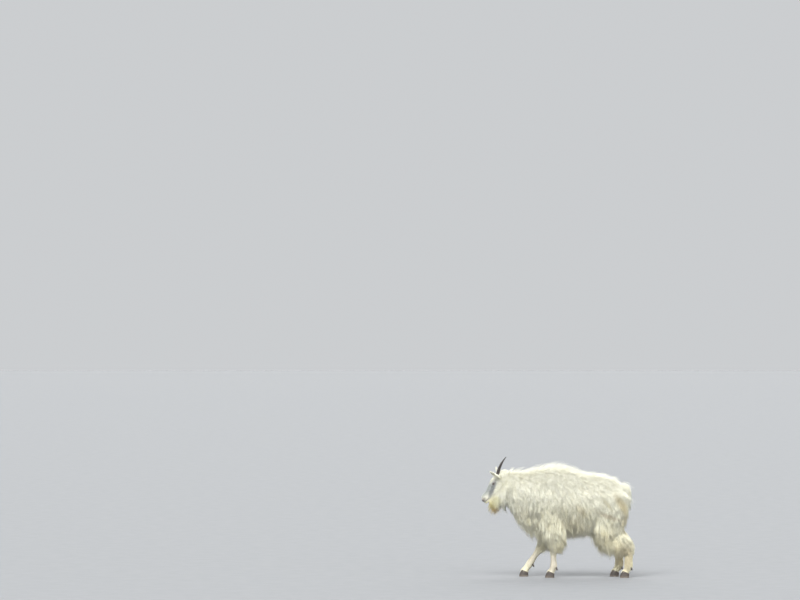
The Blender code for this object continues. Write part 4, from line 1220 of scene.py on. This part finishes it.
def bare_places(tree, position):
    """1 on the rims of the eyes, the nose and the lips."""
    nose, line = face_point(NOSE[0], NOSE[1]), face_point(0.020, -0.0152)
    places = [
        (nose, NOSE[2], NOSE[3], 1.10, 0.90),
        (line, 0.054, 0.0040, 1.1, 0.5),
        (EYE, EYE_OPENING[0] + LID_RIM, EYE_OPENING[1] + LID_RIM, 1.05, 0.80),
    ]
    found = 0.0
    for centre, length, height, outer_edge, inner_edge in places:
        x, z = centre[0], centre[2]
        spot = marking(tree, position, x, z, length, height, FACE_TILT, outer_edge, inner_edge)
        found = reckon(tree, "MAXIMUM", found, spot)
    return found


def skin_material():
    """Close under-hair in the coat's colours, and bare skin round eyes, nostrils and mouth."""
    material, tree, shader = new_material("skin")
    position = position_of(tree)
    strands = noise(tree, position, 1.0, 4.0, (520, 520, 90))
    colour = coat_colour(tree, position)
    colour = tinted(tree, colour, strands, 0.30, 0.70, srgb(226, 222, 210), srgb(249, 247, 240))
    bare = bare_places(tree, position)
    pores = noise(tree, position, 900.0, 2.0)
    dark = mix(tree, remap(tree, pores, 0.35, 0.75), BARE_SKIN, srgb(108, 100, 96))
    sockets = {
        "Base Color": mix(tree, bare, colour, dark),
        "Roughness": remap(tree, bare, 0.0, 1.0, 0.85, 0.42),
        "Normal": bump(tree, reckon(tree, "ADD", strands, pores), 0.35, 0.0015),
    }
    fill(tree, shader, sockets)
    return material


def coat_material():
    """Dry wool: the markings, painted shade that darkens each tuft towards its root, and streaks that run
    down the locks.
    """
    material, tree, shader = new_material("coat")
    position = position_of(tree)
    tip = node(tree, "Attribute", {}, attribute_name="tip").outputs["Fac"]
    shade = node(tree, "Attribute", {}, attribute_name="shade").outputs["Fac"]
    streaks = noise(tree, position, 1.0, 3.0, (190, 190, 24))
    colour = coat_colour(tree, position)
    # painted shade: darker towards the roots of the tufts, where the hair shades itself
    colour = tinted(tree, colour, tip, 0.0, 0.55, srgb(244, 241, 229), srgb(255, 255, 255))
    colour = tinted(tree, colour, shade, -1.6, 1.6, srgb(248, 246, 237), srgb(255, 255, 254))
    colour = tinted(tree, colour, streaks, 0.32, 0.62, srgb(248, 246, 237), srgb(255, 255, 255))
    strands = noise(tree, position, 1.0, 2.0, (900, 900, 60))
    sockets = {
        "Base Color": colour,
        "Roughness": 0.62,
        "Specular IOR Level": 0.30,
        "Sheen Weight": 0.50,
        "Sheen Roughness": 0.45,
        "Normal": bump(tree, strands, 0.25, 0.0006),
    }
    fill(tree, shader, sockets)
    return material


def horn_material():
    """Black horn with fine growth lines, browner and duller near the root."""
    material, tree, shader = new_material("horn")
    position = position_of(tree)
    height = node(tree, "SeparateXYZ", {0: position}).outputs[2]
    fibres = noise(tree, position, 1.0, 3.0, (420, 420, 40))
    colour = mix(tree, remap(tree, fibres, 0.35, 0.70), HORN_BLACK, srgb(58, 50, 44))
    sockets = {
        "Base Color": mix(tree, remap(tree, height, 0.965, 0.915), colour, srgb(74, 62, 50)),
        "Roughness": remap(tree, fibres, 0.3, 0.7, 0.28, 0.46),
        "Normal": bump(tree, fibres, 0.30, 0.0008),
    }
    fill(tree, shader, sockets)
    return material


def hoof_material():
    """Dark hoof horn, scuffed and dusty towards the ground, with rings of growth."""
    material, tree, shader = new_material("hoof")
    position = position_of(tree)
    height = node(tree, "SeparateXYZ", {0: position}).outputs[2]
    rings = noise(tree, position, 1.0, 2.0, (14, 14, 420))
    scuffs = noise(tree, position, 160.0, 4.0)
    colour = mix(tree, remap(tree, rings, 0.35, 0.70), HOOF_BLACK, srgb(78, 70, 62))
    low = remap(tree, height, 0.020, 0.001)
    worn = reckon(tree, "MULTIPLY", low, remap(tree, scuffs, 0.42, 0.62))
    sockets = {
        "Base Color": mix(tree, worn, colour, srgb(132, 122, 108)),
        "Roughness": remap(tree, scuffs, 0.3, 0.7, 0.42, 0.66),
        "Normal": bump(tree, reckon(tree, "ADD", rings, scuffs), 0.40, 0.0010),
    }
    fill(tree, shader, sockets)
    return material


def eye_material():
    """A wet brown eye with a level pupil. Its object's origin is the middle of the eyeball."""
    material, tree, shader = new_material("eye")
    position = position_of(tree)
    parts = node(tree, "SeparateXYZ", {0: position})
    flat = node(tree, "CombineXYZ", {0: parts.outputs[0], 2: parts.outputs[2]}).outputs[0]
    ring = length_of(tree, flat)
    slot = node(tree, "Mapping", {"Vector": flat, "Scale": (1 / 0.0046, 1, 1 / 0.0021)}).outputs[0]
    slot = length_of(tree, slot)
    fibres = noise(tree, position, 900.0, 3.0)
    iris = mix(tree, remap(tree, fibres, 0.3, 0.7), srgb(38, 26, 18), srgb(74, 50, 30))
    iris = mix(tree, remap(tree, ring, 0.0062, 0.0086), iris, srgb(24, 16, 12))
    colour = mix(tree, remap(tree, slot, 1.10, 0.95), iris, srgb(5, 5, 7))
    colour = mix(tree, remap(tree, ring, 0.0086, 0.0094), colour, srgb(60, 48, 42))
    fill(tree, shader, {"Base Color": colour, "Roughness": 0.18, "Coat Weight": 1.0, "Coat Roughness": 0.03})
    return material


def nose_material():
    """Bare nose leather, finely pebbled."""
    material, tree, shader = new_material("nose")
    position = position_of(tree)
    pebbles = node(tree, "TexVoronoi", {"Vector": position, "Scale": 620.0}).outputs["Distance"]
    colour = mix(tree, remap(tree, pebbles, 0.1, 0.6), srgb(104, 98, 96), srgb(70, 64, 64))
    relief = bump(tree, pebbles, 0.5, 0.0008, invert=True)
    fill(tree, shader, {"Base Color": colour, "Roughness": 0.38, "Normal": relief})
    return material


def floor_material():
    material, tree, shader = new_material("floor")
    position = position_of(tree)
    grain = noise(tree, position, 6.0, 4.0)
    colour = mix(tree, remap(tree, grain, 0.3, 0.7), srgb(122, 124, 126), srgb(125, 127, 129))
    fill(tree, shader, {"Base Color": colour, "Roughness": 0.9})
    return material


# Horns, hooves, eyes and nose


def dressed(obj, material, slot, *nodes):
    """The piece rides on the body, has its material, and stands for the nodes that it replaces."""
    obj.data.materials.clear()
    obj.data.materials.append(material)
    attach(obj, "root")
    if nodes:
        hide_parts(*nodes)
    return obj


def horn_shape(side):
    """A slender cone that rises from the crown and bends back, ringed over its lower two thirds."""
    count = 120
    path = [np.array([-0.566, side * 0.024, 0.912])]
    radii = []
    for i in range(count):
        t = i / (count - 1)
        bend = 0.10 + 0.62 * t
        if i:
            step = unit(np.array([math.sin(bend), side * 0.10, math.cos(bend)]))
            path.append(path[-1] + step * HORN_LENGTH / (count - 1))
        taper = HORN_RADIUS * (1 - t) ** 0.8 + 0.0006
        ring = 1 + 0.035 * (1 - ramp(t, 0.45, 0.72)) * math.sin(2 * math.pi * 13 * t**0.85)
        radii.append(taper * ring)
    return tube(path, radii, 28)


def claw_shape(foot, side):
    """One claw of a foot: flat below, straight along the cleft, rounded outside and pointed before."""
    points = []
    profile = [(0.0, 0.955, 0.0), (0.002, 0.99, 0.0), (0.008, 1.0, 0.0), (0.018, 0.965, 0.002)]
    profile += [(0.028, 0.91, 0.005), (0.038, 0.845, 0.008), (0.048, 0.775, 0.011), (0.052, 0.60, 0.012)]
    for height, size, lean in profile:
        for a in np.linspace(0, 2 * math.pi, CLAW_SIDES, endpoint=False):
            along = -math.cos(a)
            across = math.sin(a) * (1.0 - 0.30 * max(-along, 0) ** 1.5)
            inner = across * side < 0
            reach = 0.44 if inner else 0.56
            x = foot[0] - 0.006 + lean + along * size * CLAW_LENGTH / 2
            out = across * CLAW_WIDTH * reach * (0.75 + 0.25 * size)
            y = foot[1] + side * (CLAW_SPLIT + CLAW_WIDTH) / 2 + out
            top = height * (1.0 - 0.22 * along)
            points.append((x, y, top))
    base = np.mean(points[:CLAW_SIDES], axis=0)
    middle = np.mean(points[-CLAW_SIDES:], axis=0)
    return points + [tuple(base), tuple(middle)], tube_faces(len(profile), CLAW_SIDES)


def dewclaw_shape(stations, leg_side, side):
    """A small blunt claw behind the fetlock."""
    x, y, z = leg_rows(stations, leg_side)[-3][:3]
    start = np.array([x + 0.020, y + side * 0.014, z - 0.012])
    path = [start + np.array([0.0030, side * 0.0008, -0.0058]) * k for k in range(6)]
    return tube(path, [0.0078, 0.0086, 0.0086, 0.0078, 0.0060, 0.0026], 18)


def make_eyeball(name, side, material):
    """A ball with a slight bulge over the iris, its origin at its middle."""
    points, faces = ball((0, 0, 0), [1, 1, 1], None, 40, 56)
    points = unit(points)
    bulge = 1 + 0.030 * ramp(points[:, 1] * side, 0.62, 0.95)
    eye = solid(name, [(points * (EYE_RADIUS * bulge)[:, None], faces)])
    eye.location = eye_place(side)
    eye.data.shade_smooth()
    return dressed(eye, material, "eye", "eye_" + ("left" if side < 0 else "right"))


def make_nose(material):
    """The bare leather between the nostrils."""
    pad = ball(face_point(-0.0005, 0.0040), (0.0045, 0.0100, 0.0085), face_turn(), 20, 28)
    nose = solid("nose_leather", [pad])
    nose.data.shade_smooth()
    return dressed(nose, material, "nose")


def make_hard_parts():
    """Horns, hooves with their dewclaws, eyes and nose."""
    horn, hoof, eye = horn_material(), hoof_material(), eye_material()
    for side, name in ((-1, "left"), (1, "right")):
        sheath = solid("horn_sheath_" + name, [horn_shape(side)])
        sheath.data.shade_smooth()
        dressed(sheath, horn, "horn", "horn_" + name)
        make_eyeball("eyeball_" + name, side, eye)
    for name, stations, side in LEGS:
        foot = leg_rows(stations, side)[-1][:3]
        claws = solid("claws_" + name, [claw_shape(foot, s) for s in (-1, 1)])
        claws.data.shade_smooth()
        claws.data.set_sharp_from_angle(angle=math.radians(50))
        dressed(claws, hoof, "hoof", "hoof_" + name)
        dewclaws = solid("dewclaws_" + name, [dewclaw_shape(stations, side, s) for s in (-1, 1)])
        dewclaws.data.shade_smooth()
        dressed(dewclaws, hoof, "hoof")
    make_nose(nose_material())


# The whole animal


def make_animal():
    skin = make_skin()
    coat = make_coat(skin)
    wool = coat_material()
    for piece in coat:
        dressed(piece, wool, "shin_coat" if "shin" in piece.name else "coat")
    replaced = ["torso", "neck", "head", "tail", "ear_left", "ear_right"]
    replaced += [part + name for name, _, _ in LEGS for part in ("leg_upper_", "leg_lower_")]
    dressed(skin, skin_material(), "coat", *replaced)
    make_hard_parts()


# Floor, light and camera


def make_floor():
    size = 120.0
    floor = solid("floor", [])
    corners = [(-size, -size, 0), (size, -size, 0), (size, size, 0), (-size, size, 0)]
    floor.data.from_pydata(corners, [], [(0, 1, 2, 3)])
    floor.data.materials.append(floor_material())


def make_light(name, azimuth, elevation, strength, spread):
    """A soft light from far off, by the direction that it comes from and its width, in degrees."""
    lamp = bpy.data.objects.new(name, bpy.data.lights.new(name, "SUN"))
    lamp.data.energy = strength
    lamp.data.angle = math.radians(spread)
    a, e = math.radians(azimuth), math.radians(elevation)
    back = Vector((math.sin(a) * math.cos(e), -math.cos(a) * math.cos(e), math.sin(e)))
    lamp.rotation_euler = back.to_track_quat("Z", "Y").to_euler()
    bpy.context.scene.collection.objects.link(lamp)


def make_world():
    world = bpy.data.worlds.new("studio")
    world.use_nodes = True
    sky = next(n for n in world.node_tree.nodes if n.type == "BACKGROUND")
    sky.inputs["Color"].default_value = (0.80, 0.82, 0.84, 1)
    sky.inputs["Strength"].default_value = 0.75
    bpy.context.scene.world = world


def make_camera():
    """A long lens, square to the goat's side, with the goat low on the right as photographed."""
    width = FRAME_WIDTH * METRES_PER_PIXEL
    distance = width / 2 * LENS / (SENSOR / 2)
    x = (FRAME_WIDTH / 2 - ORIGIN_PIXEL[0]) * METRES_PER_PIXEL
    z = (ORIGIN_PIXEL[1] - FRAME_HEIGHT / 2) * METRES_PER_PIXEL
    camera = bpy.data.objects.new("camera", bpy.data.cameras.new("camera"))
    camera.data.lens = LENS
    camera.data.sensor_width = SENSOR
    camera.data.clip_end = 500
    camera.location = (x, -distance, z)
    camera.rotation_euler = (math.pi / 2, 0, 0)
    bpy.context.scene.collection.objects.link(camera)
    bpy.context.scene.camera = camera


bpy.context.scene.view_settings.view_transform = "Standard"
make_animal()
make_floor()
make_light("key", -25, 50, 3.2, 40)
make_light("front", 12, 5, 5.0, 110)
make_light("back", 165, 20, 3.2, 90)
make_world()
make_camera()
